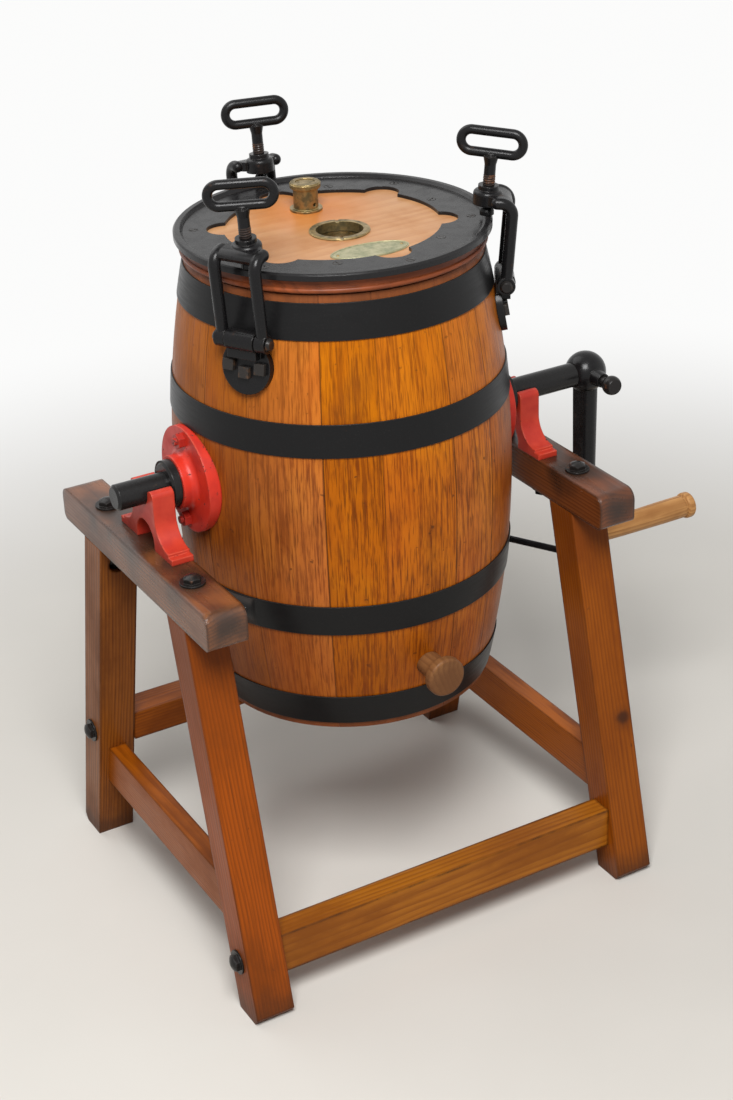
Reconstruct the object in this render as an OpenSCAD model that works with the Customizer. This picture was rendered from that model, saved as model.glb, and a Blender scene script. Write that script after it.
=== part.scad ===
// Tumbling butter churn: a coopered barrel that turns end over end between two open bearings on a splayed
// pine stand. Three screw clamps hold a round lid with a sight glass and a press vent, and a crank hangs on
// the right. Floor at z = 0, X along the trunnions, the front of the churn towards -Y.

/* [Stand] */
// Height of the rail tops above the floor
rail_top_z = 578; // [560:1:600]
// Height of a rail
rail_h = 48; // [42:1:56]
// Width of a rail, and of a leg along the trunnions
rail_w = 54; // [48:1:60]
// Clear space between the barrel's bilge and a rail
rail_clear = 37; // [33:1:45]
// Half the length of a rail
rail_half_len = 222; // [205:1:240]
// Radius on the upper corners of a rail's ends
rail_nose_r = 16; // [8:1:20]
// Radius on the lower corners of a rail's ends
rail_heel_r = 9; // [4:1:14]
// Level depth of a leg from front to back
leg_depth = 52; // [46:1:58]
// Distance of a leg's centre line from the middle, under the rail
leg_top_y = 129; // [122:1:138]
// Distance of a leg's centre line from the middle, at the floor
leg_foot_y = 257; // [248:1:270]
// Bevel on the outer edge of a foot
foot_bevel = 10; // [4:1:16]
// Height of a side stretcher
side_bar_h = 62; // [50:1:70]
// Thickness of a side stretcher
side_bar_t = 26; // [20:1:34]
// Height of a side stretcher's underside above the floor
side_bar_z = 105; // [90:1:120]
// Height of the front stretcher
front_bar_h = 59; // [50:1:66]
// Thickness of the front stretcher
front_bar_t = 35; // [28:1:40]
// Height of the front stretcher's underside above the floor
front_bar_z = 48; // [40:1:60]
// Height of the back stretcher, which is laid flat
back_bar_h = 42; // [34:1:48]
// Depth of the back stretcher
back_bar_t = 50; // [40:1:52]
// Height of the back stretcher's underside above the floor
back_bar_z = 172; // [160:1:182]
// Radius of a frame bolt's shank
frame_bolt_r = 6; // [4:0.5:7]
// Radius over the corners of a frame bolt's hexagon head
frame_head_r = 12; // [10:0.5:14]
// Height of a frame bolt's head
frame_head_h = 9; // [6:0.5:11]
// Radius of a frame bolt's washer
frame_washer_r = 16.5; // [15:0.5:19]
// Thickness of a frame bolt's washer
frame_washer_t = 2.5; // [1.5:0.5:4]
// Depth of the bed-bolt nut's centre under the rail
bed_nut_drop = 30; // [26:1:40]
// Radius of the hole that takes a bed-bolt nut
bed_nut_hole_r = 14; // [12:0.5:16]
// Radius over the corners of a bed-bolt nut
bed_nut_r = 11.5; // [10:0.5:11.5]
// Height of a bed-bolt nut
bed_nut_h = 11; // [8:1:14]

/* [Bearings] */
// Height of the axle above the rail tops
axle_h = 74; // [68:1:80]
// Radius of the trunnion shafts
shaft_r = 17; // [14:0.5:19]
// Radial clearance of a shaft in its bearing
shaft_play = 0.08; // [0.05:0.01:0.1]
// Width of a bearing along the shaft
bearing_w = 30; // [24:1:40]
// Half the length of a bearing's base
bearing_half_len = 77; // [72:1:85]
// Thickness of a bearing's toes
bearing_toe_t = 8; // [7:0.5:12]
// Height of the step between a bearing's toe and its sweep
bearing_step_h = 4; // [2:0.5:6]
// Thickness of a bearing's horns
bearing_horn_t = 16; // [12:1:18]
// Height of the horn tops above the axle
bearing_horn_rise = 8; // [4:1:12]
// Radius of the hollow sweep down to the toes
bearing_sweep_r = 34; // [28:1:36]
// Radius of the arch under the shaft
bearing_arch_r = 26; // [20:1:29]
// Distance of a bearing's bolts from the axle's plane
bearing_bolt_y = 62; // [56:1:66]
// Radius of a bearing bolt's shank
bearing_bolt_r = 5; // [4:0.5:6]
// Depth of a bearing bolt in the toe
bearing_bolt_depth = 6.5; // [5:0.5:7]

/* [Barrel] */
// Height of the staves
barrel_h = 600; // [560:2:620]
// Height of the axle above the barrel's middle
axle_rise = 32; // [20:1:40]
// Outer radius at the bilge
bilge_r = 223; // [216:1:226]
// Radius of the staves' bend
stave_bend_r = 1300; // [1150:10:1600]
// Thickness of a stave
stave_t = 25; // [20:1:28]
// Number of pairs of a wide and a narrow stave
stave_pairs = 8; // [7:1:9]
// Angle of a wide stave
wide_stave_a = 26; // [24:0.5:28]
// Direction of the first seam
first_seam_a = -150.8; // [-153:0.1:-149]
// Width of the seam between two staves
seam_gap = 0.3; // [0.2:0.1:0.5]
// Height of the end hoops
end_hoop_h = 44; // [38:1:50]
// Height of the bilge hoops
bilge_hoop_h = 42; // [36:1:50]
// Thickness of a hoop
hoop_t = 1.8; // [1.2:0.1:2.5]
// Distance of an end hoop from the barrel's end
end_hoop_inset = 9; // [6:1:14]
// Gap between a trunnion flange and the upper bilge hoop
bilge_hoop_gap = 1; // [0.5:0.5:6]
// Clearance of what is fastened to the curved staves
seat_gap = 0.2; // [0.1:0.05:0.3]
// Height of the bottom head's underside above the barrel's end
head_inset = 42; // [34:1:50]
// Thickness of the bottom head
head_t = 26; // [20:1:32]
// Width of the groove that holds the bottom head
croze_w = 10; // [8:1:14]
// Depth of the groove that holds the bottom head
croze_d = 7; // [5:0.5:9]
// Clearance of the bottom head in its groove
croze_play = 0.2; // [0.1:0.05:0.4]
// Radial clearance of the bottom head inside the staves
head_slack = 1.5; // [1:0.1:2.5]
// Width of the bevel under the bottom head's edge
head_bevel = 14; // [8:1:20]

/* [Trunnions] */
// Radius of a trunnion flange
flange_r = 70; // [66:1:74]
// Thickness of a flange's rim at the bilge
flange_rim_t = 6; // [4:0.5:8]
// Radius of a flange's hub
hub_r = 35; // [33:1:37]
// Radius of the hollow between hub and rim
hub_fillet_r = 9; // [6:0.5:9]
// Thickness of a shaft collar
collar_t = 12; // [8:1:14]
// Radius of a shaft collar
collar_r = 31; // [28:0.5:33]
// End play between collar and bearing
collar_play = 1.5; // [1:0.5:3]
// Length of the left shaft past its bearing
shaft_past = 38; // [28:1:50]
// Bevel on a shaft's end
shaft_bevel = 3; // [1:0.5:4]
// Distance of a flange bolt from the axle
flange_bolt_d = 54.5; // [53:0.5:57]
// Radius of a flange bolt
flange_bolt_r = 5; // [4:0.5:6]
// Radius over the corners of a flange nut
flange_nut_r = 10.5; // [9:0.5:11]
// Height of a flange nut
flange_nut_h = 9; // [7:1:11]
// Radius of a flange bolt's head inside the barrel
flange_head_r = 11; // [9:0.5:12]
// Clearance of a bolt in its hole
bolt_play = 0.2; // [0.1:0.05:0.3]

/* [Crank] */
// Distance of the crank's middle plane past the right bearing
crank_past = 101; // [90:1:110]
// Radius of the ball at the top of the crank
crank_ball_r = 29; // [26:0.5:32]
// Throw of the crank
crank_throw = 261; // [240:1:275]
// Half the width of the crank arm at the top
crank_top_r = 18; // [15:0.5:20]
// Half the width of the crank arm at the bottom
crank_end_r = 15; // [13:0.5:18]
// Thickness of the crank arm
crank_arm_t = 23; // [18:1:27]
// Depth of the drive shaft in the ball
crank_bore_depth = 46; // [40:1:50]
// Radius of the spindle under the grip
spindle_r = 7; // [5:0.5:9]
// Radius of the boss that holds the spindle
spindle_boss_r = 21; // [17:1:24]
// Radial clearance of the grip on its spindle
grip_play = 0.1; // [0.05:0.01:0.1]
// Gap between the crank and the grip
grip_gap = 0.6; // [0.4:0.1:1]
// Length of the grip
grip_len = 182; // [165:1:195]
// Radius of the grip at its middle
grip_r = 17; // [15:0.5:19]
// Radius of the grip's flared end
grip_end_r = 19.5; // [18:0.5:22]
// Length of the ring turned on the grip's end
grip_cap_len = 13; // [10:1:18]
// Radius on the edges of that ring
grip_cap_round = 4; // [2:0.5:4.5]
// Wood left at the end of the grip's bore
grip_end_wall = 14; // [10:1:25]
// Radius of the crank's set screw
set_screw_r = 7; // [5:0.5:8]
// Radius of the set screw's round head
set_head_r = 13.5; // [11:0.5:15]
// Distance of the set screw's head from the axle
set_head_y = 62; // [56:1:68]

/* [Lid] */
// Gap between the barrel's end and the lid's board
lid_gap = 3; // [2:0.5:5]
// Thickness of the lid's board
lid_t = 18; // [15:1:24]
// Overhang of the lid's board over the staves' end
lid_over = 3.1; // [1:0.1:5]
// Radius of the bead round the lower edge of the board
lid_bead_r = 3.4; // [2:0.2:5]
// Clearance of the lid's step inside the staves
lid_step_play = 7.2; // [3:0.2:15]
// Depth of the lid's step inside the barrel
lid_step_h = 12; // [8:1:16]
// Width of the seal
seal_w = 20; // [14:1:22]
// Overhang of the iron ring over the board
ring_over = 9; // [5:0.5:12]
// Thickness of the iron ring's plate
ring_t = 4.5; // [3:0.5:6]
// Height of the ring's rim over the board
ring_rim_h = 9; // [7:0.5:11]
// Width of the ring's rim
ring_rim_w = 12; // [9:1:14]
// Width of the ring's plate from the ring's edge to its inner line
ring_w = 63; // [58:1:68]
// Number of scallops in the ring
scallops = 6; // [5:1:8]
// Radius of a scallop
scallop_r = 24; // [20:1:26]
// Depth of a scallop
scallop_d = 21; // [16:1:23]
// Direction of the first scallop
scallop_a = 33; // [25:1:40]
// Distance of the outer ring screws from the ring's edge
ring_screw_out = 26; // [22:1:30]
// Distance of the inner ring screws from the ring's edge
ring_screw_in = 50; // [45:1:54]
// Radius of a ring screw's head
ring_screw_r = 6; // [4:0.5:7]
// Radius of a ring screw's shank
ring_shank_r = 2.5; // [2:0.1:3]
// Depth of a ring screw's sunk head
ring_screw_sink = 3; // [2:0.2:4]
// Depth of a ring screw in the board
ring_screw_depth = 12; // [8:1:14]
// Turn of the row of fittings on the lid
fittings_a = -4; // [-8:1:0]
// Place of the sight glass on that row
sight_at = -20; // [-26:1:-14]
// Outer radius of the sight ring
sight_r = 38.5; // [35:0.5:42]
// Inner radius of the sight ring
sight_in_r = 30; // [26:0.5:31]
// Wall of the sight ring's tube
sight_wall = 3.5; // [3:0.5:4.5]
// Height of the sight ring above the board
sight_proud = 2.5; // [1.5:0.5:4]
// Depth of the sight ring's tube in the board
sight_depth = 16; // [12:1:20]
// Thickness of the sight glass
glass_t = 4; // [3:0.5:6]
// Distance of the vent's foot from the ring's inner line
vent_room = 36; // [28:1:44]
// Radius of the vent's foot
vent_foot_r = 21; // [19:0.5:24]
// Radius of the vent's body
vent_r = 16; // [14:0.5:18]
// Radius of the vent's top flange
vent_top_r = 20; // [18:0.5:22]
// Height of the vent over the board
vent_h = 37; // [32:1:44]
// Radius of the vent's tube through the lid
vent_tube_r = 11; // [9:0.5:13]
// Radius of the vent's press button
vent_button_r = 12.5; // [10:0.5:14]
// Travel of the vent's press button
vent_travel = 3; // [2:0.5:4]
// Radius of the vent's stem
vent_stem_r = 3.5; // [2.5:0.5:4.5]
// Distance of the oval plate from the ring's inner line
plate_room = 6; // [5:0.5:12]
// Half the length of the oval plate
plate_a = 52; // [46:1:54]
// Half the width of the oval plate
plate_b = 25; // [21:1:26]
// Thickness of the oval plate
plate_t = 1; // [0.6:0.1:1.6]

/* [Clamps] */
// Direction of the first clamp; the others follow at equal steps
clamp_a = -150; // [-154:1:-146]
// Lean of a closed clamp outwards
clamp_lean = 5; // [3:0.5:6]
// Distance of a clamp's pin over the staves' face
pin_over = 15.5; // [14.5:0.1:18.5]
// Height of a clamp's pin below the barrel's end
pin_drop = 54; // [50:1:58]
// Radius of a hinge pin
pin_r = 6; // [5:0.5:7]
// Radial clearance of a hinge pin in its moving eyes
pin_play = 0.08; // [0.05:0.01:0.1]
// Radius of a clamp's eyes
eye_r = 11.5; // [10:0.5:12]
// Width of a clamp's eye
eye_w = 14; // [11:1:16]
// Width of a bracket's knuckle
knuckle_w = 40; // [34:1:46]
// Radius of a bracket's knuckle
knuckle_r = 12.5; // [11:0.5:12.5]
// Gap between a knuckle and an eye
eye_gap = 0.8; // [0.4:0.1:1]
// Radius of a clamp's round limbs
limb_r = 7.5; // [6:0.5:8]
// Height of a clamp's crossbar over its pin
bar_w = 105; // [102:1:108]
// Radius of the bend from limb to crossbar
limb_bend_r = 15; // [13:1:16]
// Distance of the crossbar in from the limbs
bar_in = 20; // [18:1:22]
// Distance of the clamp screw in from the limbs
screw_in = 30; // [28:0.5:31]
// Thickness of the bridge between a clamp's limbs
bridge_t = 12; // [9:0.5:13]
// Radius of a clamp's threaded boss
boss_r = 18.5; // [15:0.5:20]
// Radius on the upper edge of the boss
boss_round = 5; // [2:0.5:7]
// Height of a clamp's threaded boss
boss_h = 18; // [14:1:22]
// Radius of the collar on top of the boss
boss_collar_r = 13; // [11:0.5:14]
// Height of the collar on top of the boss
boss_collar_h = 6; // [3:0.5:7]
// Radius of a clamp screw
screw_r = 7.25; // [6:0.25:8]
// Radial clearance of a clamp screw in its boss
screw_play = 0.08; // [0.05:0.01:0.1]
// Height of a handle loop's centre over the pin
loop_w = 173.5; // [168:0.5:180]
// Length of a handle loop
loop_len = 90; // [80:1:98]
// Height of a handle loop
loop_h = 39; // [34:1:44]
// Radius of a handle loop's bar
loop_bar_r = 6; // [5:0.5:7]
// Direction of the first clamp's handle loop
loop_dir_a = -30; // [-60:1:0]
// Direction of the second clamp's handle loop
loop_dir_b = -45; // [-60:1:0]
// Direction of the third clamp's handle loop
loop_dir_c = -16; // [-60:1:0]
// Radius of a swivel pad
pad_r = 9; // [8:0.5:10]
// Height of a swivel pad
pad_h = 9; // [8:0.5:11]
// Radius of the ball at a screw's tip
tip_ball_r = 5; // [4:0.5:5.5]
// Radius of a screw's neck over the ball
tip_neck_r = 3.6; // [3:0.2:4]
// Clearance of a tip's ball in its pad
tip_play = 0.1; // [0.05:0.05:0.2]
// Gap between a swivel pad and the iron ring
pad_gap = 0.3; // [0.2:0.1:0.5]
// Radius of a bracket's half-round plate
bracket_r = 34; // [30:1:36]
// Height of the plate's centre below the pin
bracket_drop = 36; // [32:1:42]
// Thickness of a bracket's plate
bracket_t = 7; // [5:0.5:9]
// Radius of a bracket bolt's shank
bracket_bolt_r = 4; // [3:0.5:5]
// Depth of a bracket bolt in the stave
bracket_bolt_depth = 18; // [14:1:19]
// Distance of the side bolts from the plate's middle
bracket_bolt_off = 22; // [20:0.5:24]
// Half the width of a bracket bolt's square head
bracket_head = 7; // [5:0.5:8]
// Height of a bracket bolt's head
bracket_head_h = 6; // [4:0.5:7]

/* [Drain plug] */
// Height of the plug's axis above the barrel's end
plug_rise = 89; // [80:1:96]
// Radius of the plug at the barrel's face
plug_r = 16; // [13:0.5:18]
// Radius of the plug at the stave's inner face
plug_tip_r = 14; // [11:0.5:15.5]
// Clearance of the plug in its hole
plug_play = 0.3; // [0.2:0.05:0.4]
// Length of the plug outside the barrel
plug_out = 48; // [40:1:56]
// Radius of the plug's flared end
plug_end_r = 26.5; // [23:0.5:29]
// Length of the plug past the stave's inner face
plug_past = 6; // [3:1:10]

/* [Catch] */
// Height of the catch above the floor
catch_z = 441; // [430:1:446]
// Distance of the catch pin from the leg's middle plane
catch_off = 5; // [0:1:8]
// Distance of the catch pin from the leg's face
catch_reach = 18; // [17:0.5:20]
// Radius of the catch pin
catch_pin_r = 4; // [3:0.5:5]
// Radius of the hook's rod
hook_r = 4.75; // [4:0.25:5.5]
// Radius of the hook's eye
hook_eye_r = 10; // [9:0.5:11]
// Radius of the hook's bend on the rod's middle line
hook_bend_r = 9; // [8:0.5:12]
// Radial clearance of the hook on its pin
hook_play = 0.08; // [0.05:0.01:0.1]
// Direction of the keeper on the barrel
keeper_a = -8; // [-10:0.5:-6]
// Distance of the keeper's lugs over the staves
keeper_lug_h = 8; // [6:0.5:9]
// Half the gap between the keeper's lugs
keeper_half_gap = 13; // [11:0.5:15]
// Thickness of the keeper's plate
keeper_t = 3; // [2:0.5:4]
// Gap between the keeper's plate and the tip of a latched hook
hook_tip_gap = 1.5; // [1:0.5:3]
// Length of the hook's bent tip
hook_tip_len = 22; // [18:1:26]
// Angle of the hook off the keeper as it rests
hook_off_a = 7; // [6:0.5:9]

/* [Hidden] */
$fn = 96;
eps = 0.01;
big = 2000;
wood = "#b9793a";
stand_wood = "#a8622e";
iron = "#26221f";
red = "#8c1d15";
brass = "#8f7a3c";
hoop_black = "#191817";

axle_z = rail_top_z + axle_h;
mid_z = axle_z - axle_rise;
end_top_z = mid_z + barrel_h / 2;
end_low_z = mid_z - barrel_h / 2;
bilge_hoop_off = axle_rise + flange_r + bilge_hoop_gap + bilge_hoop_h / 2;
frame_half = bilge_r + rail_clear;
shaft_left_x = frame_half + bearing_w + shaft_past;
crank_x = frame_half + bearing_w + crank_past;
grip_x0 = crank_x + crank_arm_t / 2 + grip_gap;
grip_x1 = grip_x0 + grip_len;
// The barrel's axis lies left of the middle, because the grip reaches out further than the left shaft.
axis_x = (shaft_left_x - grip_x1) / 2;

leg_top_z = rail_top_z - rail_h;
leg_x = frame_half + rail_w / 2;
function leg_y(z) = leg_foot_y + (leg_top_y - leg_foot_y) * z / leg_top_z;
front_bolt_z = front_bar_z + front_bar_h / 2;
back_bolt_z = back_bar_z + back_bar_h / 2;
front_bar_y = leg_y(front_bolt_z) - (leg_depth - front_bar_t) / 2 + 6;
back_bar_y = leg_y(back_bolt_z);
frame_shank_past = 48;

// Outer and inner radius of the bent staves at a height
function stave_r(z) = bilge_r - stave_bend_r + sqrt(pow(stave_bend_r, 2) - pow(z - mid_z, 2));
function stave_in_r(z) = bilge_r - stave_bend_r + sqrt(pow(stave_bend_r - stave_t, 2) - pow(z - mid_z, 2));
pair_a = 360 / stave_pairs;
head_z = end_low_z + head_inset;
croze_z = head_z + (head_t - croze_w) / 2;

collar_x1 = frame_half - collar_play;
hub_x = collar_x1 - collar_t;
rim_x = stave_r(axle_z) + flange_rim_t;
shaft_x0 = stave_r(axle_z) + seat_gap + 1;

lid_z = end_top_z + lid_gap;
board_z = lid_z + lid_t;
ring_top_z = board_z + ring_rim_h;
lid_low_z = lid_z - lid_step_h;
lid_r = stave_r(end_top_z) + lid_over;
lid_step_r = stave_in_r(end_top_z) - lid_step_play;
ring_r = lid_r + ring_over;
ring_in_r = ring_r - ring_w;
vent_at = ring_in_r - vent_foot_r - vent_room;
plate_at = plate_b + plate_room - ring_in_r;

clamp_dirs = [for (i = [0 : 2]) clamp_a + 120 * i];
pin_z = end_top_z - pin_drop;
pin_out = stave_r(pin_z) + pin_over;
pad_low_z = ring_top_z + pad_gap;
tip_z = pad_low_z + pad_h - tip_ball_r * 0.4;
// Height along the leaning clamp at which its screw's axis reaches the ball in the pad
tip_w = (tip_z - pin_z - screw_in * sin(clamp_lean)) / cos(clamp_lean);
tip_out = pin_out - screw_in * cos(clamp_lean) + tip_w * sin(clamp_lean);
eye_half = max(eye_w / 2, limb_r);
limb_y = knuckle_w / 2 + eye_gap + eye_half;
pin_half = limb_y + eye_half;
bracket_z = pin_z - bracket_drop;
bracket_lean = asin((bracket_z - mid_z) / stave_bend_r);

plug_z = end_low_z + plug_rise;
catch_y = -(leg_y(catch_z) - leg_depth / 2) + catch_reach;
catch_x = leg_x + catch_off;
keeper_r = stave_r(catch_z);
hook_eye_h = 2 * hook_r + 1.2;

// Moves what is drawn round the barrel's axis to its place on the stand.
module placed() {
    translate([axis_x, 0, 0]) children();
}

// Turns an outline drawn in (Y, Z) into a slab along X.
module slab_x(x0, x1) {
    translate([x0, 0, 0]) rotate([90, 0, 90]) linear_extrude(x1 - x0) children();
}

// A cylinder along X from x0 to x1 at (y, z).
module rod_x(x0, x1, r, y = 0, z = 0) {
    translate([x0, y, z]) rotate([0, 90, 0]) cylinder(r = r, h = x1 - x0);
}

// A hexagon prism along the current Z.
module hex(r, h) {
    cylinder(r = r, h = h, $fn = 6);
}

// Hexagon head whose upper corners are rounded off by a dome.
module domed_head(r, h) {
    dome = (r * r + h * h) / (2 * h) + r * 0.5;
    intersection() {
        hex(r, h);
        translate([0, 0, h - dome]) sphere(r = dome);
    }
}

// Washer on its face.
module washer(r, t, bore) {
    difference() {
        cylinder(r = r, h = t);
        translate([0, 0, -1]) cylinder(r = bore, h = t + 2);
    }
}

// Stand

// What a radius takes off the corner of an outline at (x, z); up is 1 at an upper corner and -1 at a lower one
module corner_cut(x, z, r, up) {
    difference() {
        translate([x - r, up > 0 ? z - r : z - 1]) square(r + 1);
        translate([x - r, z - up * r]) circle(r);
    }
}

module rail_outline() {
    difference() {
        translate([-rail_half_len, leg_top_z]) square([2 * rail_half_len, rail_h]);
        for (s = [0, 1])
            mirror([s, 0]) {
                corner_cut(rail_half_len, rail_top_z, rail_nose_r, 1);
                corner_cut(rail_half_len, leg_top_z, rail_heel_r, -1);
            }
    }
}

module rail(side) {
    difference() {
        slab_x(side * leg_x - rail_w / 2, side * leg_x + rail_w / 2) rail_outline();
        for (s = [-1, 1]) {
            translate([side * leg_x, s * leg_top_y, leg_top_z - 1])
                cylinder(r = frame_bolt_r + bolt_play, h = rail_h + 2);
            translate([side * (frame_half + bearing_w / 2), s * bearing_bolt_y, leg_top_z - 1])
                cylinder(r = bearing_bolt_r + bolt_play, h = rail_h + 2);
        }
    }
}

module leg_outline() {
    half = leg_depth / 2;
    polygon([[leg_foot_y - half, 0], [leg_foot_y + half - foot_bevel, 0],
        [leg_y(foot_bevel) + half, foot_bevel], [leg_top_y + half, leg_top_z], [leg_top_y - half, leg_top_z]]);
}

// A leg with the holes for its bed bolt, its nut and its stretcher bolt
module leg(side, back) {
    bolt_y = back ? back_bar_y : front_bar_y;
    bolt_z = back ? back_bolt_z : front_bolt_z;
    mirror([0, back ? 0 : 1, 0]) difference() {
        slab_x(side * leg_x - rail_w / 2, side * leg_x + rail_w / 2) leg_outline();
        translate([side * leg_x, leg_top_y, leg_top_z - frame_shank_past - 2])
            cylinder(r = frame_bolt_r + bolt_play, h = frame_shank_past + 4);
        translate([side * leg_x, leg_top_y - leg_depth, leg_top_z - bed_nut_drop]) rotate([-90, 0, 0])
            cylinder(r = bed_nut_hole_r, h = leg_depth + bed_nut_r);
        rod_x(side * leg_x - rail_w, side * leg_x + rail_w, frame_bolt_r - 1 + bolt_play, bolt_y, bolt_z);
    }
}

module side_stretcher(side) {
    z1 = side_bar_z + side_bar_h;
    y0 = leg_y(side_bar_z) - leg_depth / 2;
    y1 = leg_y(z1) - leg_depth / 2;
    slab_x(side * leg_x - side_bar_t / 2, side * leg_x + side_bar_t / 2)
        polygon([[-y0, side_bar_z], [y0, side_bar_z], [y1, z1], [-y1, z1]]);
}

// A stretcher across the stand, bored at both ends for its bolts
module cross_stretcher(y, z0, h, t) {
    difference() {
        translate([-frame_half, y - t / 2, z0]) cube([2 * frame_half, t, h]);
        for (s = [-1, 1])
            rod_x(s * (frame_half - 24) - 25, s * (frame_half - 24) + 25, frame_bolt_r - 1 + bolt_play, y,
                z0 + h / 2);
    }
}

// A bolt with a domed hexagon head, its washer under the head, along the current Z with the seat at zero
module frame_bolt(shank, r = frame_bolt_r) {
    translate([0, 0, frame_washer_t]) domed_head(frame_head_r, frame_head_h);
    translate([0, 0, -shank]) cylinder(r = r, h = shank + frame_washer_t + eps);
}

module rail_bolt_group() {
    for (sx = [-1, 1])
        for (sy = [-1, 1]) {
            translate([sx * leg_x, sy * leg_top_y, rail_top_z]) {
                frame_bolt(rail_h + frame_shank_past);
                washer(frame_washer_r, frame_washer_t, frame_bolt_r + bolt_play);
            }
            translate([sx * leg_x, sy * leg_top_y, leg_top_z - bed_nut_drop - bed_nut_h / 2]) difference() {
                rotate(45) cylinder(r = bed_nut_r, h = bed_nut_h, $fn = 4);
                translate([0, 0, -1]) cylinder(r = frame_bolt_r + bolt_play, h = bed_nut_h + 2);
            }
            translate([sx * (frame_half + bearing_w / 2), sy * bearing_bolt_y, leg_top_z]) mirror([0, 0, 1]) {
                washer(frame_head_r + 1, frame_washer_t, bearing_bolt_r + bolt_play);
                translate([0, 0, frame_washer_t]) hex(frame_head_r - 2, frame_head_h - 2);
                translate([0, 0, -rail_h - bearing_bolt_depth + 0.5])
                    cylinder(r = bearing_bolt_r, h = rail_h + bearing_bolt_depth - 0.5 + frame_washer_t + eps);
            }
        }
}

module stretcher_bolt_group() {
    for (sx = [-1, 1])
        for (p = [[-front_bar_y, front_bolt_z], [back_bar_y, back_bolt_z]])
            translate([sx * (frame_half + rail_w), p[0], p[1]]) rotate([0, sx * 90, 0]) {
                frame_bolt(rail_w + 46, frame_bolt_r - 1);
                washer(frame_washer_r, frame_washer_t, frame_bolt_r - 1 + bolt_play);
            }
}

// Open saddle bearing: an arch on stepped toes, hollowed down from two rounded horns
module bearing_outline() {
    seat_r = shaft_r + shaft_play;
    horn_y = seat_r + bearing_horn_t;
    horn_z = axle_h + bearing_horn_rise - bearing_horn_t / 2;
    sweep_z = bearing_toe_t + bearing_step_h + bearing_sweep_r;
    difference() {
        union() {
            translate([-bearing_half_len, 0]) square([2 * bearing_half_len, bearing_toe_t]);
            difference() {
                translate([-horn_y - bearing_sweep_r, 0]) square([2 * (horn_y + bearing_sweep_r), sweep_z]);
                for (s = [-1, 1])
                    translate([s * (horn_y + bearing_sweep_r), sweep_z]) circle(bearing_sweep_r);
            }
            translate([-horn_y, 0]) square([2 * horn_y, horn_z]);
            for (s = [-1, 1])
                translate([s * (horn_y - bearing_horn_t / 2), horn_z]) circle(bearing_horn_t / 2);
        }
        translate([0, bearing_toe_t]) circle(bearing_arch_r);
        translate([-bearing_arch_r, -1]) square([2 * bearing_arch_r, bearing_toe_t + 1]);
        translate([0, axle_h]) circle(seat_r);
        translate([-seat_r, axle_h]) square([2 * seat_r, axle_h]);
    }
}

module bearing(side) {
    difference() {
        translate([0, 0, rail_top_z])
            slab_x(side * (frame_half + bearing_w / 2) - bearing_w / 2,
                side * (frame_half + bearing_w / 2) + bearing_w / 2) bearing_outline();
        for (s = [-1, 1])
            translate([side * (frame_half + bearing_w / 2), s * bearing_bolt_y, rail_top_z - 1])
                cylinder(r = bearing_bolt_r + bolt_play, h = bearing_bolt_depth + 1);
    }
}

// Catch

// Face of the front right leg that looks towards the barrel, as a band of a thickness over it
module leg_face_band(z0, z1, t) {
    polygon([[-leg_y(z0) + leg_depth / 2, z0], [-leg_y(z0) + leg_depth / 2 + t, z0],
        [-leg_y(z1) + leg_depth / 2 + t, z1], [-leg_y(z1) + leg_depth / 2, z1]]);
}

module catch_lug(z0, z1) {
    translate([catch_x, catch_y, z0]) difference() {
        union() {
            cylinder(r = hook_eye_r, h = z1 - z0);
            translate([-hook_eye_r, -catch_reach - 8, 0]) cube([2 * hook_eye_r, catch_reach + 8, z1 - z0]);
        }
        translate([0, 0, -1]) cylinder(r = catch_pin_r + 0.05, h = z1 - z0 + 2);
    }
}

// Clevis of two lugs on a plate that lies along the leaning leg
module clevis() {
    lug_t = 5;
    eye_h = hook_eye_h + 0.8;
    difference() {
        union() {
            slab_x(catch_x - 16, catch_x + 16) leg_face_band(catch_z - 26, catch_z + 26, 4);
            catch_lug(catch_z - eye_h / 2 - lug_t, catch_z - eye_h / 2);
            catch_lug(catch_z + eye_h / 2, catch_z + eye_h / 2 + lug_t);
        }
        slab_x(catch_x - 40, catch_x + 40) leg_face_band(catch_z - 90, catch_z + 90, -60);
    }
}

module clevis_pin() {
    h = hook_eye_h / 2 + 0.4 + 5;
    translate([catch_x, catch_y, catch_z]) {
        translate([0, 0, -h - 2]) cylinder(r = catch_pin_r, h = 2 * h + 2);
        translate([0, 0, h]) cylinder(r = catch_pin_r + 2.5, h = 3);
    }
}

// Iron rod with a flat eye on the pin and a tip bent to point at the barrel when it is latched
module hook() {
    keeper = [(keeper_r + keeper_t + hook_tip_gap) * cos(keeper_a), keeper_r * sin(keeper_a)];
    bend = [keeper[0] + hook_tip_len - catch_x, keeper[1] - catch_y];
    dir = atan2(bend[1], bend[0]);
    turn = 180 - dir;
    cut = hook_bend_r * tan(turn / 2);
    run = norm(bend) - cut;
    translate([catch_x, catch_y, catch_z]) rotate(-hook_off_a) difference() {
        union() {
            translate([0, 0, -hook_eye_h / 2]) cylinder(r = hook_eye_r, h = hook_eye_h);
            rotate(dir) {
                rod_x(0, run, hook_r);
                translate([run, hook_bend_r, 0]) rotate(-90) {
                    rotate_extrude(angle = turn) translate([hook_bend_r, 0]) circle(hook_r);
                    rotate(turn) translate([hook_bend_r, 0, 0]) rotate([-90, 0, 0])
                        cylinder(r = hook_r, h = hook_tip_len - cut);
                }
            }
        }
        translate([0, 0, -big / 2]) cylinder(r = catch_pin_r + hook_play, h = big);
    }
}

// Barrel

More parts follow.
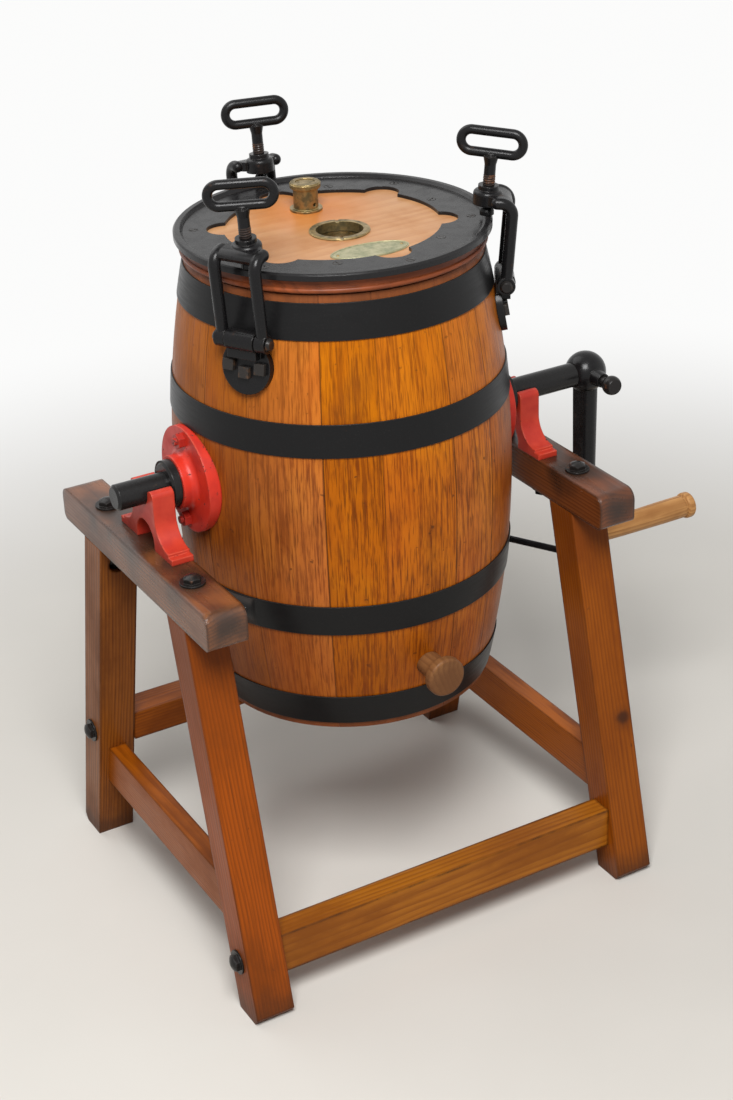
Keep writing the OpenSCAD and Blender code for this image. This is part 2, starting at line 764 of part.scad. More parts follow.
// Outline between two bent surfaces, given as distances from the outer face of the staves
module bent_band(inner, outer, z0, z1) {
    intersection() {
        translate([bilge_r / 2, z0]) square([bilge_r, z1 - z0]);
        translate([bilge_r - stave_bend_r, mid_z]) difference() {
            circle(r = stave_bend_r + outer, $fn = 720);
            circle(r = stave_bend_r + inner, $fn = 720);
        }
    }
}

// Solid within the barrel's outer face, swollen by the seating clearance
module barrel_core(z0, z1) {
    rotate_extrude($fn = 360) intersection() {
        translate([0, z0]) square([2 * bilge_r, z1 - z0]);
        translate([bilge_r - stave_bend_r, mid_z]) circle(r = stave_bend_r + seat_gap, $fn = 720);
    }
}

module stave_outline() {
    groove_r = stave_in_r(croze_z);
    difference() {
        bent_band(-stave_t, 0, end_low_z, end_top_z);
        translate([groove_r - 30, croze_z]) square([30 + croze_d, croze_w]);
    }
}

// Cuts for the bolts that go into the staves, near one direction
module stave_holes(a, reach) {
    for (d = clamp_dirs)
        if (abs((d - a + 540) % 360 - 180) < reach + 14)
            bracket_frame(d) bracket_bolt_places()
                translate([0, 0, -bracket_bolt_depth - 1]) cylinder(r = bracket_bolt_r + bolt_play,
                    h = bracket_bolt_depth + 20);
    for (d = [0, 180])
        if (abs((d - a + 540) % 360 - 180) < reach + 5)
            for (s = [-1, 1])
                rotate(d) rod_x(bilge_r / 2, bilge_r + 20, flange_bolt_r + bolt_play, 0,
                    axle_z + s * flange_bolt_d);
}

function stave_start(i) = first_seam_a + pair_a * floor(i / 2) + (i % 2 == 0 ? 0 : wide_stave_a);
function stave_a(i) = i % 2 == 0 ? wide_stave_a : pair_a - wide_stave_a;
function holds(i, a) = (a - stave_start(i) + 720) % 360 < stave_a(i);

module stave(i) {
    trim = seam_gap / bilge_r * 180 / PI;
    difference() {
        rotate(stave_start(i) + trim / 2) rotate_extrude(angle = stave_a(i) - trim) stave_outline();
        stave_holes(stave_start(i) + stave_a(i) / 2, stave_a(i) / 2);
    }
}

module plain_staves() {
    for (i = [0 : 2 * stave_pairs - 1])
        if (!holds(i, -90))
            stave(i);
}

module bored_stave() {
    deep = 2 * stave_t;
    for (i = [0 : 2 * stave_pairs - 1])
        if (holds(i, -90))
            difference() {
                stave(i);
                plug_frame() translate([0, 0, -deep])
                    cylinder(r1 = plug_radius(-deep) + plug_play, r2 = plug_radius(stave_t) + plug_play,
                        h = deep + stave_t);
            }
}

module hoop(z0, z1) {
    rotate_extrude() bent_band(seat_gap / 2, seat_gap / 2 + hoop_t, z0, z1);
}

// Hoop of a height round a middle height
module hoop_at(z, h) {
    hoop(z - h / 2, z + h / 2);
}

// Bottom head, bevelled on its underside to the groove
module head() {
    r = stave_in_r(croze_z) + croze_d - head_slack;
    inner_r = stave_in_r(head_z) - head_slack;
    play = croze_play;
    rotate_extrude() polygon([[0, head_z], [inner_r - head_bevel, head_z], [inner_r, croze_z + play],
        [r, croze_z + play], [r, croze_z + croze_w - play], [inner_r, croze_z + croze_w - play],
        [inner_r, head_z + head_t], [0, head_z + head_t]]);
}

// Trunnions

// Cast flange: rim plate seated on the bent staves, hollow fillet up to the hub, bored for shaft and bolts
module flange(side) {
    mirror([side < 0 ? 1 : 0, 0, 0]) difference() {
        translate([0, 0, axle_z]) rotate([0, 90, 0]) rotate_extrude() difference() {
            translate([shaft_r + 0.05, bilge_r - 30]) square([flange_r - shaft_r - 0.05, hub_x - bilge_r + 30]);
            translate([hub_r + hub_fillet_r, rim_x]) square([flange_r, big]);
            translate([hub_r, rim_x + hub_fillet_r]) square([flange_r, big]);
            translate([hub_r + hub_fillet_r, rim_x + hub_fillet_r]) circle(hub_fillet_r);
            translate([flange_r - 2, rim_x + 1]) rotate(45) square(4);
        }
        barrel_core(axle_z - 2 * flange_r, axle_z + 2 * flange_r);
        for (s = [-1, 1])
            rod_x(bilge_r / 2, big, flange_bolt_r + bolt_play, 0, axle_z + s * flange_bolt_d);
    }
}

module shaft(side, x1) {
    mirror([side < 0 ? 1 : 0, 0, 0]) translate([shaft_x0, 0, axle_z]) rotate([0, 90, 0]) {
        cylinder(r = shaft_r, h = x1 - shaft_x0 - shaft_bevel);
        translate([0, 0, x1 - shaft_x0 - shaft_bevel - eps])
            cylinder(r1 = shaft_r, r2 = shaft_r - shaft_bevel, h = shaft_bevel + eps);
    }
}

module collar_pair() {
    for (side = [-1, 1])
        mirror([side < 0 ? 1 : 0, 0, 0]) translate([hub_x, 0, axle_z]) rotate([0, 90, 0])
            rotate_extrude() difference() {
                translate([shaft_r + 0.05, 0]) square([collar_r - shaft_r - 0.05, collar_t]);
                translate([collar_r - 1.5, collar_t]) rotate(45) square(4, center = true);
            }
}

// Through bolts with a round head inside the barrel and a nut on the flange
module flange_bolt_group() {
    for (side = [-1, 1])
        for (s = [-1, 1])
            mirror([side < 0 ? 1 : 0, 0, 0]) translate([0, 0, axle_z + s * flange_bolt_d]) {
                head_x = stave_in_r(axle_z + s * flange_bolt_d) - 1.2;
                rod_x(head_x - 4, head_x, flange_head_r);
                rod_x(head_x - eps, rim_x + flange_nut_h + 4, flange_bolt_r);
                translate([rim_x, 0, 0]) rotate([0, 90, 0]) difference() {
                    hex(flange_nut_r, flange_nut_h);
                    translate([0, 0, -1]) cylinder(r = flange_bolt_r + 0.05, h = flange_nut_h + 2);
                }
            }
}

// Clamp brackets

// Frame on the plate of a bracket: Z along the staves' normal, X across the barrel, Y up the staves
module bracket_frame(a) {
    rotate(a) translate([stave_r(bracket_z), 0, bracket_z]) rotate([0, 90 - bracket_lean, 0]) rotate(90)
        children();
}

// Places of the three bolts of a bracket, on the plate's outer face
module bracket_bolt_places() {
    for (p = [[0, -6], [-bracket_bolt_off, 1], [bracket_bolt_off, 1]])
        translate([p[0], p[1], bracket_t]) children();
}

// Bracket: a half-round plate seated on the staves, with a knuckle for the pin
module bracket(a) {
    difference() {
        union() {
            bracket_frame(a) translate([0, 0, -6]) linear_extrude(bracket_t + 6) intersection() {
                circle(bracket_r);
                translate([-bracket_r, -bracket_r])
                    square([2 * bracket_r, bracket_r + bracket_drop - eye_r - 2.5]);
            }
            rotate(a) translate([pin_out, 0, pin_z]) {
                rotate([90, 0, 0]) cylinder(r = knuckle_r, h = knuckle_w, center = true);
                translate([-knuckle_r, -knuckle_w / 2, -bracket_drop / 2 - 4])
                    cube([knuckle_r + 6, knuckle_w, bracket_drop / 2 + 4]);
            }
        }
        rotate(a) translate([pin_out, 0, pin_z]) rotate([90, 0, 0])
            cylinder(r = pin_r + 0.05, h = 2 * knuckle_w, center = true);
        barrel_core(bracket_z - 3 * bracket_r, end_top_z);
        bracket_frame(a) bracket_bolt_places()
            translate([0, 0, -30]) cylinder(r = bracket_bolt_r + bolt_play, h = 60);
    }
}

module bracket_bolt_group() {
    for (d = clamp_dirs)
        bracket_frame(d) bracket_bolt_places() {
            translate([-bracket_head, -bracket_head, 0])
                cube([2 * bracket_head, 2 * bracket_head, bracket_head_h]);
            translate([0, 0, -bracket_bolt_depth]) cylinder(r = bracket_bolt_r, h = bracket_bolt_depth + eps);
        }
}

module pin_group() {
    for (d = clamp_dirs)
        rotate(d) translate([pin_out, 0, pin_z]) rotate([90, 0, 0]) {
            cylinder(r = pin_r, h = 2 * pin_half + 1, center = true);
            for (s = [0, 1])
                mirror([0, 0, s]) translate([0, 0, pin_half + 0.4])
                    cylinder(r1 = pin_r + 2.5, r2 = pin_r, h = 4);
        }
}

// Crank

// Ball on the drive shaft, flat-sided arm that tapers down, boss that holds the spindle
module crank() {
    translate([crank_x, 0, axle_z]) difference() {
        union() {
            sphere(r = crank_ball_r);
            intersection() {
                translate([0, 0, -crank_throw]) cylinder(r1 = crank_end_r, r2 = crank_top_r, h = crank_throw);
                translate([-crank_arm_t / 2, -big / 2, -big]) cube([crank_arm_t, big, big]);
            }
            rod_x(-crank_arm_t / 2, crank_arm_t / 2, spindle_boss_r, 0, -crank_throw);
            translate([0, -set_head_y + set_head_r + 6, 0]) rotate([-90, 0, 0])
                cylinder(r1 = set_screw_r + 3, r2 = set_screw_r + 8, h = set_head_y - set_head_r - 6);
        }
        rod_x(-big, crank_bore_depth - crank_ball_r, shaft_r + 0.05);
        rod_x(-big / 2, big / 2, spindle_r + 0.05, 0, -crank_throw);
        rotate([90, 0, 0]) cylinder(r = set_screw_r + 0.05, h = big);
    }
}

// Round-headed screw that holds the crank on its shaft
module set_screw() {
    translate([crank_x, 0, axle_z]) rotate([90, 0, 0]) {
        translate([0, 0, shaft_r + 0.1]) cylinder(r = set_screw_r, h = set_head_y - shaft_r - set_head_r * 0.6);
        translate([0, 0, set_head_y]) difference() {
            sphere(r = set_head_r);
            translate([-big / 2, -big / 2, set_head_r * 0.62]) cube(big);
        }
    }
}

module spindle() {
    z = axle_z - crank_throw;
    rod_x(crank_x - crank_arm_t / 2 - 2, grip_x1 - grip_end_wall - 1, spindle_r, 0, z);
    rod_x(crank_x - crank_arm_t / 2 - 4, crank_x - crank_arm_t / 2 - eps, spindle_r + 3, 0, z);
}

// Turned grip: slim at the crank, swelling a little towards a groove and a rounded ring at its end
module turned_grip() {
    neck_r = grip_r - 2.5;
    cap_z = grip_len - grip_cap_len;
    translate([grip_x0, 0, axle_z - crank_throw]) rotate([0, 90, 0]) rotate_extrude() difference() {
        union() {
            polygon([[0, 0], [neck_r - 1.5, 0], [neck_r, 2], [grip_r - 1, grip_len * 0.3],
                [grip_r, grip_len * 0.7], [grip_r, cap_z - 4], [grip_r - 1.2, cap_z - 2.5],
                [grip_r - 1.2, cap_z + 1], [0, cap_z + 1]]);
            translate([0, cap_z]) square([grip_end_r - grip_cap_round, grip_cap_len]);
            translate([0, cap_z + grip_cap_round])
                square([grip_end_r, grip_cap_len - 2 * grip_cap_round]);
            for (z = [cap_z + grip_cap_round, grip_len - grip_cap_round])
                translate([grip_end_r - grip_cap_round, z]) circle(grip_cap_round);
        }
        translate([0, -1]) square([spindle_r + grip_play, grip_len - grip_end_wall + 1]);
    }
}

// Keeper on the barrel: a plate seated on the staves' slope, with two lugs on each side of a latched hook's tip
module keeper() {
    run = catch_z - mid_z;
    slope = -run / sqrt(pow(stave_bend_r, 2) - pow(run, 2));
    reach = 3 * stave_t;
    difference() {
        rotate(keeper_a) {
            translate([keeper_r - stave_t / 2, -24, catch_z - 15]) cube([stave_t / 2 + keeper_t, 48, 30]);
            for (s = [0, 1])
                mirror([0, s, 0]) translate([keeper_r - stave_t / 2, keeper_half_gap, catch_z - 12])
                    cube([stave_t / 2 + keeper_lug_h, 6, 24]);
        }
        translate([0, 0, catch_z - reach]) cylinder(r1 = keeper_r + seat_gap - slope * reach,
            r2 = keeper_r + seat_gap + slope * reach, h = 2 * reach, $fn = 360);
    }
}

// Lid

// Place on the row of fittings across the lid
module on_lid(at) {
    rotate(fittings_a) translate([0, at, 0]) children();
}

module ring_screw_places() {
    for (i = [0 : scallops - 1]) {
        rotate(scallop_a + i * 360 / scallops) translate([ring_r - ring_screw_out, 0, board_z + ring_t])
            children();
        rotate(scallop_a + (i + 0.5) * 360 / scallops) translate([ring_r - ring_screw_in, 0, board_z + ring_t])
            children();
    }
}

module board() {
    difference() {
        rotate_extrude() {
            translate([0, lid_low_z]) square([lid_step_r, lid_step_h + eps]);
            translate([0, lid_z]) square([lid_r, lid_t]);
            translate([lid_r, lid_z + lid_bead_r]) circle(lid_bead_r);
        }
        on_lid(sight_at) translate([0, 0, lid_low_z - 1])
            cylinder(r = sight_in_r + sight_wall + bolt_play, h = lid_t + lid_step_h + 2);
        on_lid(vent_at) translate([0, 0, lid_low_z - 1])
            cylinder(r = vent_tube_r + bolt_play, h = lid_t + lid_step_h + 2);
        ring_screw_places() translate([0, 0, -ring_t - ring_screw_depth])
            cylinder(r = ring_shank_r + bolt_play, h = ring_screw_depth + 1);
    }
}

// Iron ring: scalloped plate, raised rim with a lip over the board's edge
module iron_ring() {
    difference() {
        union() {
            translate([0, 0, board_z]) linear_extrude(ring_t) difference() {
                circle(ring_r - 4);
                circle(ring_in_r);
                for (i = [0 : scallops - 1])
                    rotate(scallop_a + i * 360 / scallops) translate([ring_in_r + scallop_d - scallop_r, 0])
                        circle(scallop_r);
            }
            rotate_extrude() difference() {
                translate([ring_r - ring_rim_w, board_z]) square([ring_rim_w, ring_rim_h]);
                translate([ring_r, board_z + ring_rim_h]) rotate(45) square(3, center = true);
                translate([ring_r - ring_rim_w, board_z + ring_rim_h]) rotate(45) square(5, center = true);
            }
        }
        ring_screw_places() {
            translate([0, 0, -ring_t - 1]) cylinder(r = ring_shank_r + bolt_play, h = ring_t + 2);
            translate([0, 0, -ring_screw_sink - bolt_play]) cylinder(r1 = ring_shank_r + bolt_play,
                r2 = ring_screw_r + 2 * bolt_play, h = ring_screw_sink + 2 * bolt_play);
        }
    }
}

module seal() {
    r = stave_r(end_top_z) - 2;
    rotate_extrude() translate([r - seal_w, end_top_z + 0.2]) square([seal_w, lid_gap - 0.2]);
}

// Sunk screws with a slot, flush with the ring's plate
module ring_screw_group() {
    ring_screw_places() difference() {
        union() {
            translate([0, 0, -ring_screw_sink])
                cylinder(r1 = ring_shank_r, r2 = ring_screw_r, h = ring_screw_sink);
            translate([0, 0, 1 - ring_t - ring_screw_depth])
                cylinder(r = ring_shank_r, h = ring_screw_depth + ring_t - 1 - ring_screw_sink + eps);
        }
        rotate(25) translate([-2 * ring_screw_r, -0.7, -1]) cube([4 * ring_screw_r, 1.4, 2]);
    }
}

// Brass ring with a tube through the board, a ledge for the glass and two spanner notches
module brass_ring() {
    on_lid(sight_at) difference() {
        rotate_extrude() {
            translate([sight_in_r, board_z - sight_depth]) square([sight_wall, sight_depth + sight_proud]);
            translate([sight_in_r, board_z]) square([sight_r - sight_in_r - 1, sight_proud]);
            translate([sight_in_r, board_z]) square([sight_r - sight_in_r, sight_proud - 1]);
            translate([sight_in_r - 3, board_z - sight_depth]) square([4, 2.5]);
        }
        rotate(70) translate([-big / 2, -2, board_z + sight_proud - 1.4]) cube([big, 4, 5]);
    }
}

module glass_disc() {
    on_lid(sight_at) translate([0, 0, board_z - sight_depth + 2.5]) cylinder(r = sight_in_r - 0.3, h = glass_t);
}

// Vent: turned brass body with a chamber, a dished top for the button and a side outlet
module vent_shell() {
    top_z = board_z + vent_h;
    flange_t = 8;
    on_lid(vent_at) difference() {
        rotate_extrude() difference() {
            union() {
                translate([0, lid_low_z - 3]) square([vent_tube_r, vent_h]);
                translate([0, board_z]) square([vent_foot_r, 3]);
                translate([0, board_z]) square([vent_r, vent_h]);
                translate([0, top_z - flange_t]) square([vent_top_r - 1.5, flange_t]);
                translate([0, top_z - flange_t + 1.5]) square([vent_top_r, flange_t - 3]);
            }
            translate([0, top_z - vent_travel - 4.5]) square([vent_button_r + 0.3, big]);
            translate([0, lid_low_z - big / 2]) square([vent_stem_r + 0.08, big]);
            translate([0, lid_low_z + 2]) square([vent_tube_r - 2.2, top_z - vent_travel - 11 - lid_low_z]);
            translate([0, lid_low_z - 4]) square([vent_stem_r + 1.6, 7]);
        }
        translate([0, 0, board_z + 9]) rotate([90, 0, 20]) cylinder(r = 2.5, h = big);
    }
}

// Button, stem, spring collar and valve disc of the vent in one piece
module plunger() {
    top_z = board_z + vent_h;
    on_lid(vent_at) rotate_extrude() {
        translate([0, top_z - 4]) square([vent_button_r, 3]);
        translate([0, lid_low_z - 6.5]) square([vent_stem_r, top_z - lid_low_z + 3]);
        translate([0, top_z - vent_travel - 14]) square([vent_tube_r - 2.6, 2.5]);
        translate([0, lid_low_z - 6.5]) square([vent_tube_r - 2, 3.2]);
    }
}

module spring() {
    top_z = board_z + vent_h;
    low = lid_low_z + 2.3;
    on_lid(vent_at) translate([0, 0, low]) difference() {
        cylinder(r = vent_tube_r - 3, h = top_z - vent_travel - 14.3 - low);
        translate([0, 0, -1]) cylinder(r = vent_stem_r + 1.5, h = vent_h * 4);
    }
}

// Bare oval plate
module plate() {
    on_lid(plate_at) translate([0, 0, board_z]) linear_extrude(plate_t)
        polygon([for (i = [0 : 71]) [plate_a * cos(i * 5), plate_b * sin(i * 5)]]);
}

// Drain plug

// Frame with Z out along the plug's axis and zero on the barrel's face
module plug_frame() {
    translate([0, -stave_r(plug_z), plug_z]) rotate([90, 0, 0]) children();
}

function plug_radius(z) = plug_r + (plug_r - plug_tip_r) * z / stave_t;

// Turned plug: tapered through the stave, then a hollow flare to a rounded head
module plug() {
    z0 = -stave_t - plug_past;
    sweep = plug_end_r - plug_r + 6;
    plug_frame() rotate_extrude() difference() {
        union() {
            polygon([[0, z0], [plug_radius(z0), z0], [plug_radius(6), 6], [plug_radius(6), plug_out - 4],
                [0, plug_out - 4]]);
            translate([0, 4]) square([plug_end_r, plug_out - 8]);
            translate([0, plug_out - 8 + 4 - eps]) square([plug_end_r - 4, 4 + eps]);
            translate([plug_end_r - 4, plug_out - 4]) circle(4);
        }
        translate([plug_radius(6) + sweep, plug_out - 10 - sweep]) difference() {
            translate([-sweep, -big]) square([2 * sweep, big + sweep]);
            translate([-sweep, 0]) difference() {
                square(sweep);
                translate([sweep, 0]) circle(sweep);
            }
        }
    }
}

// Clamps

// Frame of a closed clamp: X out, Y along the pin, Z up the leaning arm
module clamp_frame(a) {
    rotate(a) translate([pin_out, 0, pin_z]) rotate([0, clamp_lean, 0]) children();
}

// Section of the bridge between the limbs, in (out, up): it follows their bend and runs level to the boss
module bridge_section() {
    outer_r = limb_bend_r + bridge_t / 2;
    inner_r = limb_bend_r - bridge_t / 2;
    level = screw_in - limb_bend_r;
    translate([-limb_bend_r, bar_w - limb_bend_r]) intersection() {
        difference() {
            union() {
                circle(outer_r);
                translate([-level, 0]) square([level, outer_r]);
            }
            circle(inner_r);
            translate([-2 * level, -inner_r]) square([2 * level, 2 * inner_r]);
        }
        polygon([[-level, 0], [0, 0], [2 * outer_r * cos(42), 2 * outer_r * sin(42)], [-level, 2 * outer_r]]);
    }
}

// Cast fork: two limbs on the pin, bent in over the lid to a bridge that carries the threaded boss
module fork(a) {
    bend_w = bar_w - limb_bend_r;
    clamp_frame(a) difference() {
        union() {
            for (s = [-1, 1])
                translate([0, s * limb_y, 0]) {
                    rotate([90, 0, 0]) cylinder(r = eye_r, h = eye_w, center = true);
                    cylinder(r = limb_r, h = bend_w);
                    translate([-limb_bend_r, 0, bend_w]) rotate([90, 0, 0]) rotate_extrude(angle = 90)
                        translate([limb_bend_r, 0]) circle(limb_r);
                    rod_x(-bar_in, -limb_bend_r, limb_r, 0, bar_w);
                    translate([-bar_in, 0, bar_w]) sphere(r = limb_r);
                }
            intersection() {
                rotate([90, 0, 0]) linear_extrude(2 * limb_y, center = true) bridge_section();
                linear_extrude(2 * bar_w) polygon([[bar_in, -limb_y], [bar_in, limb_y], [-bar_in, limb_y],
                    [-screw_in - boss_r * 0.6, boss_r * 0.7], [-screw_in - boss_r * 0.6, -boss_r * 0.7],
                    [-bar_in, -limb_y]]);
            }
            translate([-screw_in, 0, bar_w - boss_h / 2]) rotate_extrude() {
                square([boss_r, boss_h - boss_round]);
                square([boss_r - boss_round, boss_h]);
                translate([boss_r - boss_round, boss_h - boss_round]) circle(boss_round);
                square([boss_collar_r, boss_h + boss_collar_h]);
            }
        }
        translate([-screw_in, 0, 0]) cylinder(r = screw_r + screw_play, h = big);
        rotate([90, 0, 0]) cylinder(r = pin_r + pin_play, h = 4 * pin_half, center = true);
    }
}

// Swivel pad that lies flat on the iron ring under the ball of the screw
module pad(a) {
    rotate(a) translate([tip_out, 0, pad_low_z]) difference() {
        union() {
            cylinder(r = pad_r, h = pad_h * 0.55);
            translate([0, 0, pad_h * 0.55 - eps]) cylinder(r1 = pad_r, r2 = pad_r - 2, h = pad_h * 0.45 + eps);
        }
        translate([0, 0, tip_z - pad_low_z]) sphere(r = tip_ball_r + tip_play);
    }
}

// Clamp screw: ball tip, neck, stem, and a long loop handle across its top
module screw(a, loop_dir) {
    arm_r = loop_h / 2 - loop_bar_r;
    half = loop_len / 2 - loop_h / 2;
    stem_w = loop_w - arm_r;
    clamp_frame(a) translate([-screw_in, 0, 0]) {
        translate([0, 0, tip_w]) sphere(r = tip_ball_r);
        translate([0, 0, tip_w]) cylinder(r = tip_neck_r, h = 8);
        translate([0, 0, tip_w + tip_ball_r + 2]) cylinder(r = screw_r, h = stem_w - tip_w - tip_ball_r - 2);
        translate([0, 0, stem_w - 14]) cylinder(r1 = screw_r, r2 = screw_r + 2.5, h = 11);
        rotate(loop_dir - a) translate([0, 0, loop_w]) {
            for (s = [-1, 1]) {
                rod_x(-half, half, loop_bar_r, 0, s * arm_r);
                translate([s * half, 0, 0]) rotate([90, 0, 0]) rotate(s * 90 - 180) rotate_extrude(angle = 180)
                    translate([arm_r, 0]) circle(loop_bar_r);
            }
        }
    }
}

module rail_left() { color(stand_wood) placed() rail(-1); }
module rail_right() { color(stand_wood) placed() rail(1); }
module leg_front_left() { color(stand_wood) placed() leg(-1, false); }
module leg_front_right() { color(stand_wood) placed() leg(1, false); }
module leg_back_left() { color(stand_wood) placed() leg(-1, true); }
module leg_back_right() { color(stand_wood) placed() leg(1, true); }
module side_stretcher_left() { color(stand_wood) placed() side_stretcher(-1); }
module side_stretcher_right() { color(stand_wood) placed() side_stretcher(1); }
module front_stretcher() {
    color("#bb8446") placed() cross_stretcher(-front_bar_y, front_bar_z, front_bar_h, front_bar_t);
}
module back_stretcher() {
    color(stand_wood) placed() cross_stretcher(back_bar_y, back_bar_z, back_bar_h, back_bar_t);
}
module rail_bolts() { color(iron) placed() rail_bolt_group(); }
module stretcher_bolts() { color(iron) placed() stretcher_bolt_group(); }
module bearing_left() { color(red) placed() bearing(-1); }
module bearing_right() { color(red) placed() bearing(1); }
module catch_bracket() { color(iron) placed() clevis(); }
module catch_pin() { color(iron) placed() clevis_pin(); }
module catch_hook() { color(iron) placed() hook(); }
module staves() { color(wood) placed() plain_staves(); }
module drain_stave() { color(wood) placed() bored_stave(); }
module hoop_top() {
    color(hoop_black) placed() hoop(end_top_z - end_hoop_inset - end_hoop_h, end_top_z - end_hoop_inset);
}
module hoop_upper() {
    color(hoop_black) placed() hoop_at(mid_z + bilge_hoop_off, bilge_hoop_h);
}
module hoop_lower() {
    color(hoop_black) placed() hoop_at(mid_z - bilge_hoop_off, bilge_hoop_h);
}
module hoop_bottom() {
    color(hoop_black) placed() hoop(end_low_z + end_hoop_inset, end_low_z + end_hoop_inset + end_hoop_h);
}
module bottom_head() { color(wood) placed() head(); }
module flange_left() { color(red) placed() flange(-1); }
module flange_right() { color(red) placed() flange(1); }
module shaft_left() { color("#4a4643") placed() shaft(-1, shaft_left_x); }
module shaft_right() { color("#4a4643") placed() shaft(1, crank_x - crank_ball_r + crank_bore_depth - 0.5); }
module shaft_collars() { color(iron) placed() collar_pair(); }
module flange_bolts() { color(iron) placed() flange_bolt_group(); }
module bracket_a() { color(iron) placed() bracket(clamp_dirs[0]); }
module bracket_b() { color(iron) placed() bracket(clamp_dirs[1]); }
module bracket_c() { color(iron) placed() bracket(clamp_dirs[2]); }
module bracket_bolts() { color(iron) placed() bracket_bolt_group(); }
module hinge_pins() { color(iron) placed() pin_group(); }
module crank_arm() { color(iron) placed() crank(); }
module crank_set_screw() { color(iron) placed() set_screw(); }
module crank_spindle() { color(iron) placed() spindle(); }
module crank_grip() { color("#c48a4c") placed() turned_grip(); }
module catch_keeper() { color(iron) placed() keeper(); }
module lid_board() { color("#a86a3a") placed() board(); }
module lid_ring() { color(iron) placed() iron_ring(); }
module lid_seal() { color("#3a2a22") placed() seal(); }
module ring_screws() { color(iron) placed() ring_screw_group(); }
module sight_ring() { color(brass) placed() brass_ring(); }
module sight_glass() { color("#8a5a2a") placed() glass_disc(); }
module vent_body() { color(brass) placed() vent_shell(); }
module oval_plate() { color("#b9b58f") placed() plate(); }
module vent_valve() { color(brass) placed() plunger(); }
module vent_spring() { color("#9a9a96") placed() spring(); }
module drain_plug() { color("#8a5a30") placed() plug(); }
module clamp_arm_a() { color(iron) placed() fork(clamp_dirs[0]); }
module clamp_arm_b() { color(iron) placed() fork(clamp_dirs[1]); }
module clamp_arm_c() { color(iron) placed() fork(clamp_dirs[2]); }
module clamp_pad_a() { color(iron) placed() pad(clamp_dirs[0]); }
module clamp_pad_b() { color(iron) placed() pad(clamp_dirs[1]); }
module clamp_pad_c() { color(iron) placed() pad(clamp_dirs[2]); }
module clamp_screw_a() { color(iron) placed() screw(clamp_dirs[0], loop_dir_a); }
module clamp_screw_b() { color(iron) placed() screw(clamp_dirs[1], loop_dir_b); }
module clamp_screw_c() { color(iron) placed() screw(clamp_dirs[2], loop_dir_c); }

rail_left();
rail_right();
leg_front_left();
leg_front_right();
leg_back_left();
leg_back_right();
side_stretcher_left();
side_stretcher_right();
front_stretcher();
back_stretcher();
rail_bolts();
stretcher_bolts();
bearing_left();
bearing_right();
catch_bracket();
catch_pin();
catch_hook();
staves();
drain_stave();
hoop_top();
hoop_upper();
hoop_lower();
hoop_bottom();
bottom_head();
flange_left();
flange_right();
shaft_left();
shaft_right();
shaft_collars();
flange_bolts();
bracket_a();
bracket_b();
bracket_c();
bracket_bolts();
hinge_pins();
crank_arm();
crank_set_screw();
crank_spindle();
crank_grip();
catch_keeper();
lid_board();
lid_ring();
lid_seal();
ring_screws();
sight_ring();
sight_glass();
vent_body();
oval_plate();
vent_valve();
vent_spring();
drain_plug();
clamp_arm_a();
clamp_arm_b();
clamp_arm_c();
clamp_pad_a();
clamp_pad_b();
clamp_pad_c();
clamp_screw_a();
clamp_screw_b();
clamp_screw_c();
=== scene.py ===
# A tumbling butter churn: an oak barrel hung by two trunnions on a splayed pine stand, with a clamped lid on
# top and a crank on the right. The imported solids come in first, and each section below finishes one of the
# pieces in the order in which the churn is put together.
import bpy
import numpy as np
from mathutils import Matrix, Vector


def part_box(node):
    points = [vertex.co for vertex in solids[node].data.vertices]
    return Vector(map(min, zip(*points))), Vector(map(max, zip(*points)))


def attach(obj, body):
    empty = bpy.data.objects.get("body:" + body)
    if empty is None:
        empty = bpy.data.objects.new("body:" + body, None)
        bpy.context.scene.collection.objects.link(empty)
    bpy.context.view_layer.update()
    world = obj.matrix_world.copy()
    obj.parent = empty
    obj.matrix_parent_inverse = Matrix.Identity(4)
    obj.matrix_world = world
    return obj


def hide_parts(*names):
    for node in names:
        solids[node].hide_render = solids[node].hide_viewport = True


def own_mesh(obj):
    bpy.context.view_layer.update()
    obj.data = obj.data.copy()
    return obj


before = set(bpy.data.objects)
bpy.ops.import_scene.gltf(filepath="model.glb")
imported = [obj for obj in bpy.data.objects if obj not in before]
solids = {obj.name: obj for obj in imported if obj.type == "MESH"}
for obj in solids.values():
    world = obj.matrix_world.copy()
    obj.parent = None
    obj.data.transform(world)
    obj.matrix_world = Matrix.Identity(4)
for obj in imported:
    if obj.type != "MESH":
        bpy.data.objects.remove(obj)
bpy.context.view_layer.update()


# The studio: the camera stands left of the front and looks down on the lid, a pale floor takes the shadow,
# and three broad soft lights and a white room light the churn evenly. Far off, the floor fades into the
# room's white.
lens_mm = 67.31
sensor_mm = 36
floor_half = 6.0
fade_start = 0.75
fade_end = 2.1
floor_roughness = 0.75
room_light = 0.21
room_seen = 0.76
floor_colour = (0.60, 0.575, 0.53, 1)
floor_pale = (0.66, 0.635, 0.59, 1)
far_white = (0.97, 0.97, 0.965, 1)
room_white = (1, 1, 0.995, 1)

eye = bpy.data.objects.new("eye", bpy.data.cameras.new("eye"))
eye.data.sensor_fit = "VERTICAL"
eye.data.sensor_height = sensor_mm
eye.data.lens = lens_mm
eye.data.clip_end = 50
eye.matrix_world = Matrix((
    (0.86505034, 0.25855898, -0.4299246, -1.304234),
    (-0.50043417, 0.38424046, -0.7758382, -2.175360),
    (-0.03540551, 0.88628806, 0.46177909, 1.769748),
    (0, 0, 0, 1)))
bpy.context.collection.objects.link(eye)
bpy.context.scene.camera = eye
bpy.context.scene.view_settings.view_transform = "Standard"


